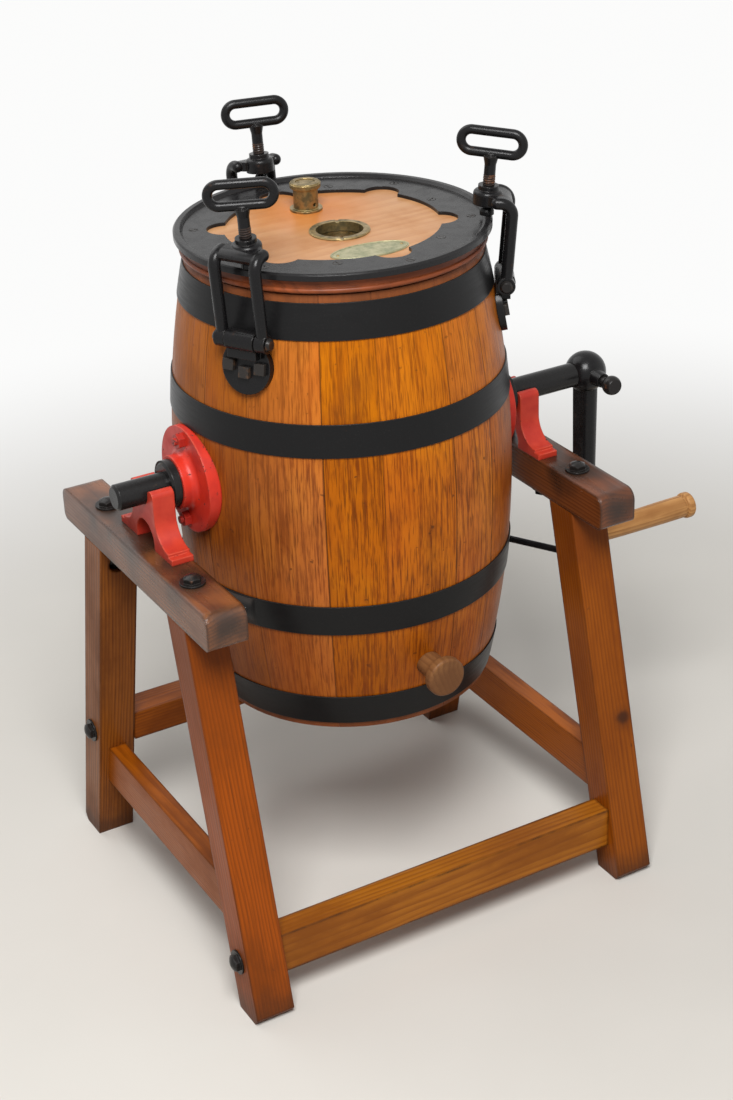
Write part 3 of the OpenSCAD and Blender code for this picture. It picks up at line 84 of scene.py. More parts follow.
def lay(tree, kind, values=None, **settings):
    """Puts one node into a tree: settings are its options, and values its inputs, each of them a number, a
    colour or a socket."""
    made = tree.nodes.new(kind)
    for name, value in settings.items():
        setattr(made, name, value)
    for name, value in (values or {}).items():
        if isinstance(value, bpy.types.NodeSocket):
            tree.links.new(value, made.inputs[name])
        else:
            made.inputs[name].default_value = value
    return made


def maths(tree, what, a, b=0.0):
    """One sum on two values."""
    return lay(tree, "ShaderNodeMath", {0: a, 1: b}, operation=what).outputs[0]


def mixed(tree, share, a, b):
    """A blend of two colours by a share. The node's sockets 6, 7 and 2 are its colours and its result."""
    return lay(tree, "ShaderNodeMix", {0: share, 6: a, 7: b}, data_type="RGBA").outputs[2]


def ramp(tree, value, low, high, to_low=0.0, to_high=1.0):
    """A smooth step of a value from one level to another between two of its values."""
    return lay(tree, "ShaderNodeMapRange", {"Value": value, "From Min": low, "From Max": high,
        "To Min": to_low, "To Max": to_high}, interpolation_type="SMOOTHSTEP").outputs[0]


def noise(tree, vector, scale, detail, **more):
    """Cloudy values from 0 to 1 at a scale. More names other inputs of the node, such as Roughness."""
    values = {"Vector": vector, "Scale": scale, "Detail": detail, **more}
    return lay(tree, "ShaderNodeTexNoise", values).outputs[0]


def object_place(tree):
    """Where a point lies on its piece, in metres."""
    return lay(tree, "ShaderNodeTexCoord").outputs["Object"]


def blank_material(name):
    """A new node material, with its tree and its Principled shader."""
    made = bpy.data.materials.new(name)
    made.use_nodes = True
    return made, made.node_tree, made.node_tree.nodes["Principled BSDF"]


def grid_object(name, points, close_u=False, close_v=False, material=None):
    """A quad surface through an array of points (rows, columns, 3), joined round in either direction."""
    rows, cols = points.shape[:2]
    number = np.arange(rows * cols).reshape(rows, cols)
    if close_u:
        number = np.vstack([number, number[:1]])
    if close_v:
        number = np.hstack([number, number[:, :1]])
    corners = (number[:-1, :-1], number[1:, :-1], number[1:, 1:], number[:-1, 1:])
    quads = np.stack(corners, axis=-1).reshape(-1, 4)
    mesh = bpy.data.meshes.new(name)
    mesh.from_pydata(points.reshape(-1, 3), [], quads)
    mesh.polygons.foreach_set("use_smooth", np.ones(len(quads), dtype=bool))
    mesh.materials.append(material)
    made = bpy.data.objects.new(name, mesh)
    bpy.context.collection.objects.link(made)
    return made


def seen_rays(tree):
    """1 for the rays that show the background: straight to the eye, by a reflection, or through glass."""
    rays = lay(tree, "ShaderNodeLightPath").outputs
    opaque = maths(tree, "MAXIMUM", rays["Is Camera Ray"], rays["Is Glossy Ray"])
    return maths(tree, "MAXIMUM", opaque, rays["Is Transmission Ray"])


floor_paint, tree, shader = blank_material("pale_floor")
place = object_place(tree)
tint = mixed(tree, noise(tree, place, 3.0, 6.0), floor_colour, floor_pale)
tree.links.new(tint, shader.inputs["Base Color"])
shader.inputs["Roughness"].default_value = floor_roughness
far = lay(tree, "ShaderNodeVectorMath", {0: place}, operation="LENGTH").outputs["Value"]
share = maths(tree, "MULTIPLY", ramp(tree, far, fade_start, fade_end), seen_rays(tree))
white = lay(tree, "ShaderNodeEmission", {"Color": far_white})
blend = lay(tree, "ShaderNodeMixShader", {0: share, 1: shader.outputs[0], 2: white.outputs[0]})
tree.links.new(blend.outputs[0], tree.nodes["Material Output"].inputs["Surface"])
reach = np.linspace(-floor_half, floor_half, 9)
ground = np.stack(np.meshgrid(reach, reach, [0.0], indexing="ij"), axis=-1)[:, :, 0, :]
grid_object("floor", ground, material=floor_paint)

world = bpy.data.worlds.new("white_room")
world.use_nodes = True
room = world.node_tree.nodes["Background"]
room.inputs["Color"].default_value = room_white
level = lay(world.node_tree, "ShaderNodeMath", {0: seen_rays(world.node_tree), 1: room_seen, 2: room_light},
    operation="MULTIPLY_ADD")
world.node_tree.links.new(level.outputs[0], room.inputs["Strength"])
bpy.context.scene.world = world


def soft_light(name, spot, aim, size, power):
    """A square area light at a spot, turned so that its face looks at the aim."""
    lamp = bpy.data.lights.new(name, "AREA")
    lamp.size = size
    lamp.energy = power
    made = bpy.data.objects.new(name, lamp)
    back = np.array(spot, float) - np.array(aim, float)
    back /= np.linalg.norm(back)
    side = np.cross((0, 0.001, 1), back)
    side /= np.linalg.norm(side)
    turn = np.column_stack([side, np.cross(back, side), back])
    made.matrix_world = Matrix([[*turn[i], spot[i]] for i in range(3)] + [[0, 0, 0, 1]])
    bpy.context.collection.objects.link(made)


soft_light("key", (-1.15, -1.8, 3.1), (-0.1, 0, 0.6), 1.4, 136)
soft_light("fill", (2.4, -1.4, 1.6), (-0.1, 0, 0.5), 1.8, 3)
soft_light("top", (-0.8, 1.6, 2.8), (-0.1, 0, 0.7), 2.0, 24)


# The stand's timbers: orange-brown varnished pine, sawn square, with clear growth rings along each piece.
# Rails, legs and stretchers are bolted together; hands and grease have worn the rails dark, and the feet are
# stained.
leg_lean = 0.2370
rail_x = 0.287
bolt_y = 0.129
nose_y = 0.232
nose_drop = 0.014
knot_at = (0.1726, -0.227, 0.2317)
along_x = (0, -1.5708, 0)
along_y = (1.5708, 0, 0)
rail_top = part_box("rail_left")[1][2]
axis_x = float(np.mean([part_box("hoop_top")[0][0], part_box("hoop_top")[1][0]]))
pine_light = (0.33, 0.083, 0.004, 1)
pine_dark = (0.15, 0.032, 0.002, 1)
pale_pine_light = (0.37, 0.125, 0.010, 1)
pale_pine_dark = (0.20, 0.055, 0.004, 1)
front_left_light = (0.32, 0.063, 0.002, 1)
front_right_light = (0.265, 0.066, 0.003, 1)
back_left_light = (0.25, 0.076, 0.010, 1)
back_left_dark = (0.10, 0.026, 0.004, 1)
left_rail_light = (0.215, 0.076, 0.024, 1)
left_rail_dark = (0.075, 0.024, 0.009, 1)
right_rail_light = (0.17, 0.047, 0.012, 1)
right_rail_dark = (0.07, 0.019, 0.005, 1)
edge_dirt = (0.05, 0.018, 0.006, 1)
dent_brown = (0.035, 0.014, 0.006, 1)
grease_black = (0.020, 0.011, 0.007, 1)
foot_brown = (0.06, 0.020, 0.007, 1)
knot_brown = (0.13, 0.032, 0.004, 1)
knot_black = (0.045, 0.014, 0.005, 1)


def dress(material, *names):
    """Puts a material on CAD nodes by name."""
    for name in names:
        solids[name].data.materials.clear()
        solids[name].data.materials.append(material)


def effect(name, ins, outs):
    """A shader node group with sockets of the given kinds: the group, what comes in and where it goes out."""
    made = bpy.data.node_groups.new(name, "ShaderNodeTree")
    for way, sockets in (("INPUT", ins), ("OUTPUT", outs)):
        for label, kind in sockets.items():
            made.interface.new_socket(label, in_out=way, socket_type="NodeSocket" + kind)
    return made, made.nodes.new("NodeGroupInput").outputs, made.nodes.new("NodeGroupOutput").inputs


def stretched(tree, vector, along):
    """A vector whose Z is scaled, so that a texture is drawn out along Z."""
    return lay(tree, "ShaderNodeVectorMath", {0: vector, 1: (1, 1, along)}, operation="MULTIPLY").outputs[0]


def frayed(tree, value, cloud, depth):
    """A value made uneven by a cloud of that depth."""
    return maths(tree, "ADD", value, maths(tree, "MULTIPLY", cloud, depth))


def height_of(tree, place):
    """How high a place is."""
    return lay(tree, "ShaderNodeSeparateXYZ", {0: place}).outputs[2]


def distance(tree, place, point):
    """How far a place is from a point."""
    return lay(tree, "ShaderNodeVectorMath", {0: place, 1: point}, operation="DISTANCE").outputs["Value"]


def rounded(tree, size):
    """The shading normal of edges rounded to a radius, and how far on such an edge a place is, 0 to 1."""
    soft = lay(tree, "ShaderNodeBevel", {"Radius": size}, samples=6).outputs[0]
    flat = lay(tree, "ShaderNodeNewGeometry").outputs["True Normal"]
    facing = lay(tree, "ShaderNodeVectorMath", {0: soft, 1: flat}, operation="DOT_PRODUCT").outputs["Value"]
    return soft, ramp(tree, facing, 0.995, 0.86)


def relief(tree, shader, height, strength, depth, soft=None):
    """Gives the shader a fine relief of a depth in metres, on top of a softened normal where there is one."""
    values = {"Strength": strength, "Distance": depth, "Height": height}
    if soft is not None:
        values["Normal"] = soft
    tree.links.new(lay(tree, "ShaderNodeBump", values).outputs[0], shader.inputs["Normal"])


# Growth rings round an axis along Z, bent by slow noise, with fine pores along the grain and slow stains.
grain, g_in, g_out = effect("growth_rings",
    {"Vector": "Vector", "Light": "Color", "Dark": "Color", "Rings": "Float", "Warp": "Float"},
    {"Color": "Color", "Height": "Float", "Stain": "Float"})
slow = noise(grain, stretched(grain, g_in["Vector"], 0.12), 14.0, 3.0)
apart = lay(grain, "ShaderNodeSeparateXYZ", {0: g_in["Vector"]}).outputs
square = maths(grain, "ADD", maths(grain, "MULTIPLY", apart[0], apart[0]),
    maths(grain, "MULTIPLY", apart[1], apart[1]))
radius = frayed(grain, maths(grain, "SQRT", square), slow, g_in["Warp"])
ring_at = maths(grain, "FRACT", maths(grain, "MULTIPLY", radius, g_in["Rings"]))
late_wood = maths(grain, "MULTIPLY", ramp(grain, ring_at, 0.2, 0.85),
    ramp(grain, ring_at, 0.85, 1.0, 1.0, 0.0))
pores = noise(grain, stretched(grain, g_in["Vector"], 0.025), 420.0, 2.0)
stain = noise(grain, stretched(grain, g_in["Vector"], 0.45), 11.0, 5.0, Roughness=0.6)
depth = maths(grain, "ADD", maths(grain, "MULTIPLY", late_wood, 0.58), ramp(grain, pores, 0.5, 0.7, 0, 0.36))
body = mixed(grain, depth, g_in["Light"], g_in["Dark"])
deep = mixed(grain, ramp(grain, stain, 0.4, 0.72, 0.0, 0.9), body, g_in["Dark"])
grain.links.new(deep, g_out["Color"])
grain.links.new(depth, g_out["Height"])
grain.links.new(stain, g_out["Stain"])


def timber(name, light, dark, turn, shift, rings=230.0, edge=0.005, dirt=0.5, stains=(), top_shade=None,
        shine=0.14, rough=(0.28, 0.48)):
    """Varnished wood: the Mapping turns the object's axes so that the grain runs along Z, and shifts the
    rings' axis away from the piece. Edges are rounded and dirty, slow stains change the gloss, and each of
    the listed stains (x, y, z, radius) darkens the wood round a point. Top shade gives two heights between
    which the wood darkens towards the top: a painted shade under the rails."""
    made, tree, shader = blank_material(name)
    place = object_place(tree)
    turned = lay(tree, "ShaderNodeMapping", {"Vector": place, "Rotation": turn, "Location": shift}).outputs[0]
    wood = lay(tree, "ShaderNodeGroup", {"Vector": turned, "Light": light, "Dark": dark, "Rings": rings,
        "Warp": 0.025}, node_tree=grain).outputs
    soft, edge_mask = rounded(tree, edge)
    rub = noise(tree, place, 24.0, 5.0)
    worn = maths(tree, "MULTIPLY", edge_mask, ramp(tree, rub, 0.35, 0.6, 0.25, 0.95))
    colour = mixed(tree, maths(tree, "MULTIPLY", worn, dirt), wood["Color"], edge_dirt)
    nicks = noise(tree, stretched(tree, turned, 0.5), 90.0, 5.0, Roughness=0.7)
    colour = mixed(tree, ramp(tree, nicks, 0.67, 0.73, 0.0, 0.65), colour, dent_brown)
    for x, y, z, radius in stains:
        ragged = frayed(tree, distance(tree, place, (x, y, z)), rub, radius * 1.2)
        colour = mixed(tree, ramp(tree, ragged, radius * 0.9, radius * 1.9, 0.9, 0.0), colour, grease_black)
    height = height_of(tree, place)
    wet_foot = ramp(tree, frayed(tree, height, rub, 0.06), 0.035, 0.085, 0.75, 0.0)
    colour = mixed(tree, wet_foot, colour, foot_brown)
    # Painted shade: the leg darkens towards its top, under the rails.
    if top_shade:
        shade_height = frayed(tree, height, rub, 0.16)
        colour = mixed(tree, ramp(tree, shade_height, top_shade[0] + 0.08, top_shade[1] + 0.08, 0.0, 0.7), colour, dark)
    tree.links.new(colour, shader.inputs["Base Color"])
    tree.links.new(ramp(tree, wood["Stain"], 0.3, 0.7, *rough), shader.inputs["Roughness"])
    relief(tree, shader, wood["Height"], 0.25, 0.0006, soft)
    shader.inputs["Specular IOR Level"].default_value = shine
    return made, tree, shader, colour


def rail_stains(x):
    """Dark rings round a rail's two bolts, under the bearing, and on its two worn noses."""
    on_top = ((-bolt_y, 0.042), (bolt_y, 0.045), (-0.07, 0.03), (0.07, 0.04), (0, 0.05))
    noses = [(x, y, rail_top - nose_drop, 0.034) for y in (-nose_y, nose_y)]
    return [(x, y, rail_top, radius) for y, radius in on_top] + noses


worn_rail = {"edge": 0.008, "dirt": 0.9, "rough": (0.2, 0.38)}
for node, name, light, dark, turn, shift, more in (
        ("rail_left", "rail_pine_left", left_rail_light, left_rail_dark, along_y, (0.33, 0.03, 0),
            {"rings": 200, "stains": rail_stains(axis_x - rail_x), "shine": 0.5, **worn_rail}),
        ("rail_right", "rail_pine_right", right_rail_light, right_rail_dark, along_y, (-0.13, 0.06, 0.4),
            {"rings": 210, "stains": rail_stains(axis_x + rail_x), "shine": 0.4, **worn_rail}),
        ("leg_front_left", "leg_pine_front_left", front_left_light, pine_dark, (leg_lean, 0, 0),
            (0.36, 0.31, 0), {"top_shade": (0.30, 0.52)}),
        ("leg_back_left", "leg_pine_back_left", back_left_light, back_left_dark, (-leg_lean, 0, 0),
            (0.37, -0.2, 0.7), {}),
        ("leg_back_right", "leg_pine_back_right", pine_light, pine_dark, (-leg_lean, 0, 0),
            (-0.2, -0.33, 0.3), {}),
        ("side_stretcher_left", "side_pine_left", pine_light, pine_dark, along_y, (0.36, -0.19, 0.2),
            {"rings": 250}),
        ("side_stretcher_right", "side_pine_right", pine_light, pine_dark, along_y, (-0.12, -0.17, 0.9),
            {"rings": 250}),
        ("back_stretcher", "back_pine", pine_light, pine_dark, along_x, (0.03, -0.13, 0.4), {"rings": 220}),
        ("front_stretcher", "front_pine", pale_pine_light, pale_pine_dark, along_x, (0.12, 0.31, 0.1),
            {"rings": 130, "edge": 0.007, "dirt": 1.0})):
    dress(timber(name, light, dark, turn, shift, **more)[0], node)

# The front right leg has a dark round knot half way down its front face.
knot_leg, tree, shader, colour = timber("leg_pine_front_right", front_right_light, pine_dark,
    (leg_lean, 0, 0), (-0.22, 0.33, 0.2), top_shade=(0.38, 0.56))
place = object_place(tree)
ragged = frayed(tree, distance(tree, place, knot_at), noise(tree, place, 60.0, 2.0), 0.01)
halo = mixed(tree, ramp(tree, ragged, 0.012, 0.03, 0.6, 0.0), colour, knot_brown)
heart = mixed(tree, ramp(tree, ragged, 0.008, 0.019, 0.9, 0.0), halo, knot_black)
tree.links.new(heart, shader.inputs["Base Color"])
dress(knot_leg, "leg_front_right")


# Frame bolts: black hexagon heads, washers and bed-bolt nuts of plain iron, spotted brown by rust. They hold
# the rails down on the legs and the stretchers between them.
bolt_black = (0.012, 0.0105, 0.0098, 1)
rust_brown = (0.11, 0.042, 0.016, 1)
sand_grey = (0.06, 0.055, 0.052, 1)
bare_edge = (0.085, 0.07, 0.06, 1)

# Worn iron: nearly black, with brown rust in spots and a fine sandy skin from the mould or the forge.
iron_skin, i_in, i_out = effect("iron_skin",
    {"Vector": "Vector", "Black": "Color", "Rust": "Color", "Amount": "Float"},
    {"Color": "Color", "Roughness": "Float", "Height": "Float"})
patch = noise(iron_skin, i_in["Vector"], 55.0, 6.0, Roughness=0.65)
sand = noise(iron_skin, i_in["Vector"], 600.0, 3.0)
level = maths(iron_skin, "SUBTRACT", 0.78, maths(iron_skin, "MULTIPLY", i_in["Amount"], 0.3))
rusty = maths(iron_skin, "MULTIPLY", maths(iron_skin, "SUBTRACT", patch, level), 9.0)
rusty = lay(iron_skin, "ShaderNodeClamp", {0: rusty}).outputs[0]
skin = mixed(iron_skin, ramp(iron_skin, sand, 0.55, 0.75, 0.0, 0.12), i_in["Black"], sand_grey)
gloss = ramp(iron_skin, patch, 0.3, 0.7, 0.19, 0.33)
iron_skin.links.new(mixed(iron_skin, rusty, skin, i_in["Rust"]), i_out["Color"])
iron_skin.links.new(frayed(iron_skin, gloss, rusty, 0.3), i_out["Roughness"])
iron_skin.links.new(frayed(iron_skin, maths(iron_skin, "MULTIPLY", sand, 0.4), patch, 2.0), i_out["Height"])


def iron(name, black, rust, amount, edge, rough=0.3):
    """Worn iron with rounded edges: amount is how much rust shows, and rough how strong its relief is."""
    made, tree, shader = blank_material(name)
    skin = lay(tree, "ShaderNodeGroup", {"Vector": object_place(tree), "Black": black, "Rust": rust,
        "Amount": amount}, node_tree=iron_skin).outputs
    soft, edge_mask = rounded(tree, edge)
    colour = mixed(tree, maths(tree, "MULTIPLY", edge_mask, 0.14), skin["Color"], bare_edge)
    tree.links.new(colour, shader.inputs["Base Color"])
    tree.links.new(skin["Roughness"], shader.inputs["Roughness"])
    relief(tree, shader, skin["Height"], rough, 0.0004, soft)
    shader.inputs["Specular IOR Level"].default_value = 0.2
    return made


bolt_iron = iron("bolt_iron", bolt_black, rust_brown, 0.58, 0.0015)
dress(bolt_iron, "rail_bolts", "stretcher_bolts")


# Bearings: two open iron saddles on the rails, painted bright red. Their paint has chipped to dark iron and
# worn to a lighter red along the horns and the toes.
saddle_red = (0.50, 0.040, 0.018, 1)
paint_worn = (0.60, 0.095, 0.045, 1)
paint_deep = (0.33, 0.012, 0.009, 1)
chip_iron = (0.03, 0.02, 0.016, 1)


def red_paint(name, paint, edge, chipped=0.685):
    """Gloss red paint on iron: worn lighter on edges, chipped to dark iron in small spots near them. The
    lower chipped is, the more chips there are."""
    made, tree, shader = blank_material(name)
    place = object_place(tree)
    soft, edge_mask = rounded(tree, edge)
    blotch = noise(tree, place, 38.0, 5.0)
    speck = noise(tree, place, 120.0, 4.0, Roughness=0.7)
    body = mixed(tree, ramp(tree, blotch, 0.35, 0.7, 0.0, 0.6), paint, paint_deep)
    rubbed = maths(tree, "MULTIPLY", edge_mask, ramp(tree, blotch, 0.4, 0.6, 0.1, 0.8))
    body = mixed(tree, rubbed, body, paint_worn)
    chips = ramp(tree, frayed(tree, speck, edge_mask, 0.06), chipped, chipped + 0.015)
    gloss = frayed(tree, ramp(tree, blotch, 0.3, 0.7, 0.34, 0.5), chips, 0.3)
    tree.links.new(mixed(tree, chips, body, chip_iron), shader.inputs["Base Color"])
    tree.links.new(gloss, shader.inputs["Roughness"])
    skin = maths(tree, "SUBTRACT", maths(tree, "MULTIPLY", blotch, 0.6), chips)
    relief(tree, shader, skin, 0.3, 0.0004, soft)
    shader.inputs["Specular IOR Level"].default_value = 0.35
    return made


dress(red_paint("saddle_paint", saddle_red, 0.003), "bearing_left", "bearing_right")


# Barrel: sixteen oak staves, wide and narrow in turn, bent and jointed edge to edge round a bottom head. The
# varnish is honey orange over straight vertical grain, with dark seams. Painted shade darkens the staves
# towards the two sides by the bearings and, together with dirt, towards the bottom; painted light makes them
# golder towards the top.
bilge_radius = 0.223
bilge_height = 0.62
bend_radius = 1.3
to_degrees = 57.29578
first_seam = -150.8
wide_stave = 26.0
pair_of_staves = 45.0
middle_of_wide = wide_stave / 2
middle_of_narrow = (wide_stave + pair_of_staves) / 2
oak_light = (0.47, 0.120, 0.003, 1)
oak_dark = (0.19, 0.038, 0.002, 1)
oak_gold = (0.57, 0.172, 0.004, 1)
oak_red = (0.42, 0.068, 0.002, 1)
pore_brown = (0.10, 0.024, 0.003, 1)
smoke_brown = (0.12, 0.026, 0.003, 1)
scuff_brown = (0.05, 0.016, 0.006, 1)
seam_brown = (0.055, 0.014, 0.003, 1)
side_shade_brown = (0.13, 0.030, 0.004, 1)
rim_red = (0.20, 0.060, 0.022, 1)
rim_brown = (0.11, 0.034, 0.014, 1)


def chance_of(tree, number):
    """A fixed chance value from 0 to 1 for a number."""
    return lay(tree, "ShaderNodeTexWhiteNoise", {"W": number}, noise_dimensions="1D").outputs["Value"]


# Coordinates that go round the barrel: how far round in metres, height, which stave, and how near a seam is.
cooper, c_in, c_out = effect("round_the_staves", {"Vector": "Vector"},
    {"Round": "Vector", "Stave": "Float", "Seam": "Float"})
apart = lay(cooper, "ShaderNodeSeparateXYZ", {0: c_in["Vector"]}).outputs
from_axis = maths(cooper, "SUBTRACT", apart[0], axis_x)
angle = maths(cooper, "MULTIPLY", maths(cooper, "ARCTAN2", apart[1], from_axis), to_degrees)
from_seam = maths(cooper, "SUBTRACT", maths(cooper, "ADD", angle, 720.0), first_seam)
turned = maths(cooper, "DIVIDE", from_seam, pair_of_staves)
in_pair = maths(cooper, "MULTIPLY", maths(cooper, "FRACT", turned), pair_of_staves)
seam_before = maths(cooper, "MULTIPLY", maths(cooper, "FLOOR", turned), 2.0)
which = maths(cooper, "ADD", seam_before, maths(cooper, "GREATER_THAN", in_pair, wide_stave))
chance = chance_of(cooper, which)
across = maths(cooper, "MULTIPLY", angle, bilge_radius / to_degrees)
round_at = lay(cooper, "ShaderNodeCombineXYZ", {0: frayed(cooper, across, chance, 9.0),
    1: maths(cooper, "MULTIPLY", chance, 5.0), 2: apart[2]})
to_ends = maths(cooper, "MINIMUM", in_pair, maths(cooper, "SUBTRACT", pair_of_staves, in_pair))
to_middle = maths(cooper, "ABSOLUTE", maths(cooper, "SUBTRACT", in_pair, wide_stave))
line = ramp(cooper, maths(cooper, "MINIMUM", to_middle, to_ends), 0.12, 0.4, 1.0, 0.0)
past_wide = ramp(cooper, in_pair, middle_of_wide - 0.01, middle_of_wide + 0.01)
past_narrow = ramp(cooper, in_pair, middle_of_narrow - 0.01, middle_of_narrow + 0.01)
nearest = maths(cooper, "ROUND", maths(cooper, "ADD", seam_before, past_wide))
open_by = chance_of(cooper, maths(cooper, "ADD", maths(cooper, "ADD", nearest, past_narrow), 0.37))
seam = maths(cooper, "MULTIPLY", line, ramp(cooper, open_by, 0.1, 0.7, 0.35, 1.0))
cooper.links.new(round_at.outputs[0], c_out["Round"])
cooper.links.new(chance, c_out["Stave"])
cooper.links.new(seam, c_out["Seam"])

# Varnished oak along Z: fine straight lines, a soft mottle, short dark pores and gold patches.
oak, o_in, o_out = effect("oak_figure",
    {"Vector": "Vector", "Light": "Color", "Dark": "Color", "Gold": "Color"},
    {"Color": "Color", "Height": "Float"})
lines = noise(oak, stretched(oak, o_in["Vector"], 0.03), 300.0, 4.0, Roughness=0.66)
mottle = noise(oak, stretched(oak, o_in["Vector"], 0.2), 165.0, 5.0, Distortion=0.5)
dashes = noise(oak, stretched(oak, o_in["Vector"], 0.06), 560.0, 1.0)
glow = noise(oak, stretched(oak, o_in["Vector"], 0.4), 22.0, 4.0, Distortion=0.4)
depth = maths(oak, "ADD", ramp(oak, lines, 0.48, 0.6, 0, 0.74), ramp(oak, mottle, 0.47, 0.68, 0, 0.38))
pore = ramp(oak, dashes, 0.57, 0.67, 0.0, 0.62)
body = mixed(oak, ramp(oak, glow, 0.42, 0.66, 0.0, 0.6), o_in["Light"], o_in["Gold"])
body = mixed(oak, depth, body, o_in["Dark"])
oak.links.new(mixed(oak, pore, body, pore_brown), o_out["Color"])
oak.links.new(maths(oak, "ADD", depth, pore), o_out["Height"])

stave_oak, tree, shader = blank_material("stave_oak")
place = object_place(tree)
around = lay(tree, "ShaderNodeGroup", {"Vector": place}, node_tree=cooper).outputs
figure = lay(tree, "ShaderNodeGroup", {"Vector": around["Round"], "Light": oak_light, "Dark": oak_dark,
    "Gold": oak_gold}, node_tree=oak).outputs
tone = lay(tree, "ShaderNodeHueSaturation", {"Color": figure["Color"],
    "Value": ramp(tree, around["Stave"], 0.0, 1.0, 0.84, 1.12),
    "Saturation": ramp(tree, around["Stave"], 0.1, 0.9, 1.03, 0.94)})
smoke = noise(tree, stretched(tree, around["Round"], 0.6), 13.0, 6.0, Roughness=0.62)
blush = noise(tree, stretched(tree, around["Round"], 0.5), 8.0, 3.0)
scuffs = noise(tree, place, 75.0, 3.0)
colour = mixed(tree, ramp(tree, blush, 0.5, 0.72, 0.0, 0.28), tone.outputs[0], oak_red)
colour = mixed(tree, ramp(tree, smoke, 0.5, 0.78, 0.0, 0.7), colour, smoke_brown)
colour = mixed(tree, ramp(tree, scuffs, 0.68, 0.74, 0.0, 0.7), colour, scuff_brown)
colour = mixed(tree, maths(tree, "MULTIPLY", around["Seam"], 0.75), colour, seam_brown)
height = height_of(tree, place)
# Darker towards the bottom of the barrel: partly dirt, partly painted shade.
colour = mixed(tree, ramp(tree, height, 0.33, 0.60, 0.52, 0.0), colour, oak_dark)
# Painted shade: the staves darken towards the two sides of the barrel, by the bearings.
from_axis = lay(tree, "ShaderNodeVectorMath", {0: place, 1: (axis_x, 0, 0)}, operation="SUBTRACT").outputs[0]
sideways = lay(tree, "ShaderNodeVectorMath", {0: from_axis, 1: (1 / bilge_radius, 0, 0)},
    operation="DOT_PRODUCT").outputs["Value"]
painted_side_shade = ramp(tree, maths(tree, "ABSOLUTE", sideways), 0.45, 0.95, 0.0, 0.6)
colour = mixed(tree, painted_side_shade, colour, side_shade_brown)
# Painted light: the staves turn lighter and more golden towards the top, as if lit from above.
colour = mixed(tree, ramp(tree, height, 0.66, 0.86, 0.0, 0.2), colour, oak_gold)
rim = maths(tree, "MAXIMUM", ramp(tree, height, 0.909, 0.912), ramp(tree, height, 0.328, 0.331, 1.0, 0.0))
rim_colour = mixed(tree, ramp(tree, smoke, 0.35, 0.7), rim_red, rim_brown)
colour = mixed(tree, maths(tree, "MULTIPLY", rim, 0.9), colour, rim_colour)
tree.links.new(colour, shader.inputs["Base Color"])
tree.links.new(ramp(tree, smoke, 0.3, 0.7, 0.32, 0.46), shader.inputs["Roughness"])
cut = maths(tree, "ADD", maths(tree, "MULTIPLY", figure["Height"], 0.22), around["Seam"])
relief(tree, shader, maths(tree, "SUBTRACT", 1.0, cut), 0.5, 0.0008)
shader.inputs["Specular IOR Level"].default_value = 0.12
dress(stave_oak, "staves", "drain_stave")
head_oak = timber("head_oak", oak_light, oak_dark, along_x, (0.3, 0.5, 0), 120, 0.002, 0.4)[0]
dress(head_oak, "bottom_head")


# Hoops: four flat bands of black iron driven on to the staves. Each is lapped over itself, and two
# round-headed rivets hold the lap.
hoop_thick = 0.0019
hoop_radius = 0.21
lap_long = 0.062
lap_thick = 0.0014
lap_edge = 0.0006
rivet_apart = 0.014
rivet_seat = 0.0032
rivet_radius = 0.0048
rivet_height = 0.0022
hoop_black = (0.007, 0.0068, 0.007, 1)
hoop_rust = (0.07, 0.03, 0.014, 1)
hoop_edge_wear_and_highlight = (0.07, 0.06, 0.055, 1)

hoop_iron, tree, shader = blank_material("hoop_iron")
place = object_place(tree)
skin = lay(tree, "ShaderNodeGroup", {"Vector": place, "Black": hoop_black, "Rust": hoop_rust, "Amount": 0.32},
    node_tree=iron_skin).outputs
soft, edge_mask = rounded(tree, 0.0009)
# Rounded edges turn half way to a pale grey: partly rubbed iron, partly a painted edge highlight.
colour = mixed(tree, maths(tree, "MULTIPLY", edge_mask, 0.5), skin["Color"], hoop_edge_wear_and_highlight)
scratch = noise(tree, stretched(tree, place, 22), 26.0, 3.0)
tree.links.new(colour, shader.inputs["Base Color"])
tree.links.new(ramp(tree, scratch, 0.3, 0.7, 0.28, 0.4), shader.inputs["Roughness"])
relief(tree, shader, skin["Height"], 0.16, 0.0004, soft)
shader.inputs["Specular IOR Level"].default_value = 0.15
dress(hoop_iron, "hoop_top", "hoop_upper", "hoop_lower", "hoop_bottom")


def stave_radius(z):
    """Outer radius of the bent staves at a height: a wide circle whose outermost point is the bilge."""
    return bilge_radius - bend_radius + np.sqrt(bend_radius ** 2 - (np.asarray(z) - bilge_height) ** 2)


def hoop_lap(z_low, z_high, middle):
    """The lapped tongue of a hoop: a band over the hoop, carried round an arc, that thins out to both ends.
    Rows go round the arc, columns go round the band's cross-section."""
    step = np.linspace(-0.5, 0.5, 25)
    turn = np.radians(middle) + step * lap_long / hoop_radius
    fade = np.clip((0.5 - np.abs(step)) * 12, 0, 1)[:, None]
    height = np.array([z_low, z_low + lap_edge, z_high - lap_edge, z_high])[None, :]
    lift = np.array([0.0, lap_thick, lap_thick, 0.0])[None, :] * fade
    radius = stave_radius(height) + hoop_thick + lift
    x = axis_x + radius * np.cos(turn)[:, None]
    y = radius * np.sin(turn)[:, None]
    return np.stack([x, y, height + 0 * radius], axis=-1)


def square_to(axis, hint):
    """Two unit vectors square to an axis and to each other, the first of them also square to a hint."""
    side = np.cross(axis, hint)
    side /= np.linalg.norm(side)
    return side, np.cross(axis, side)


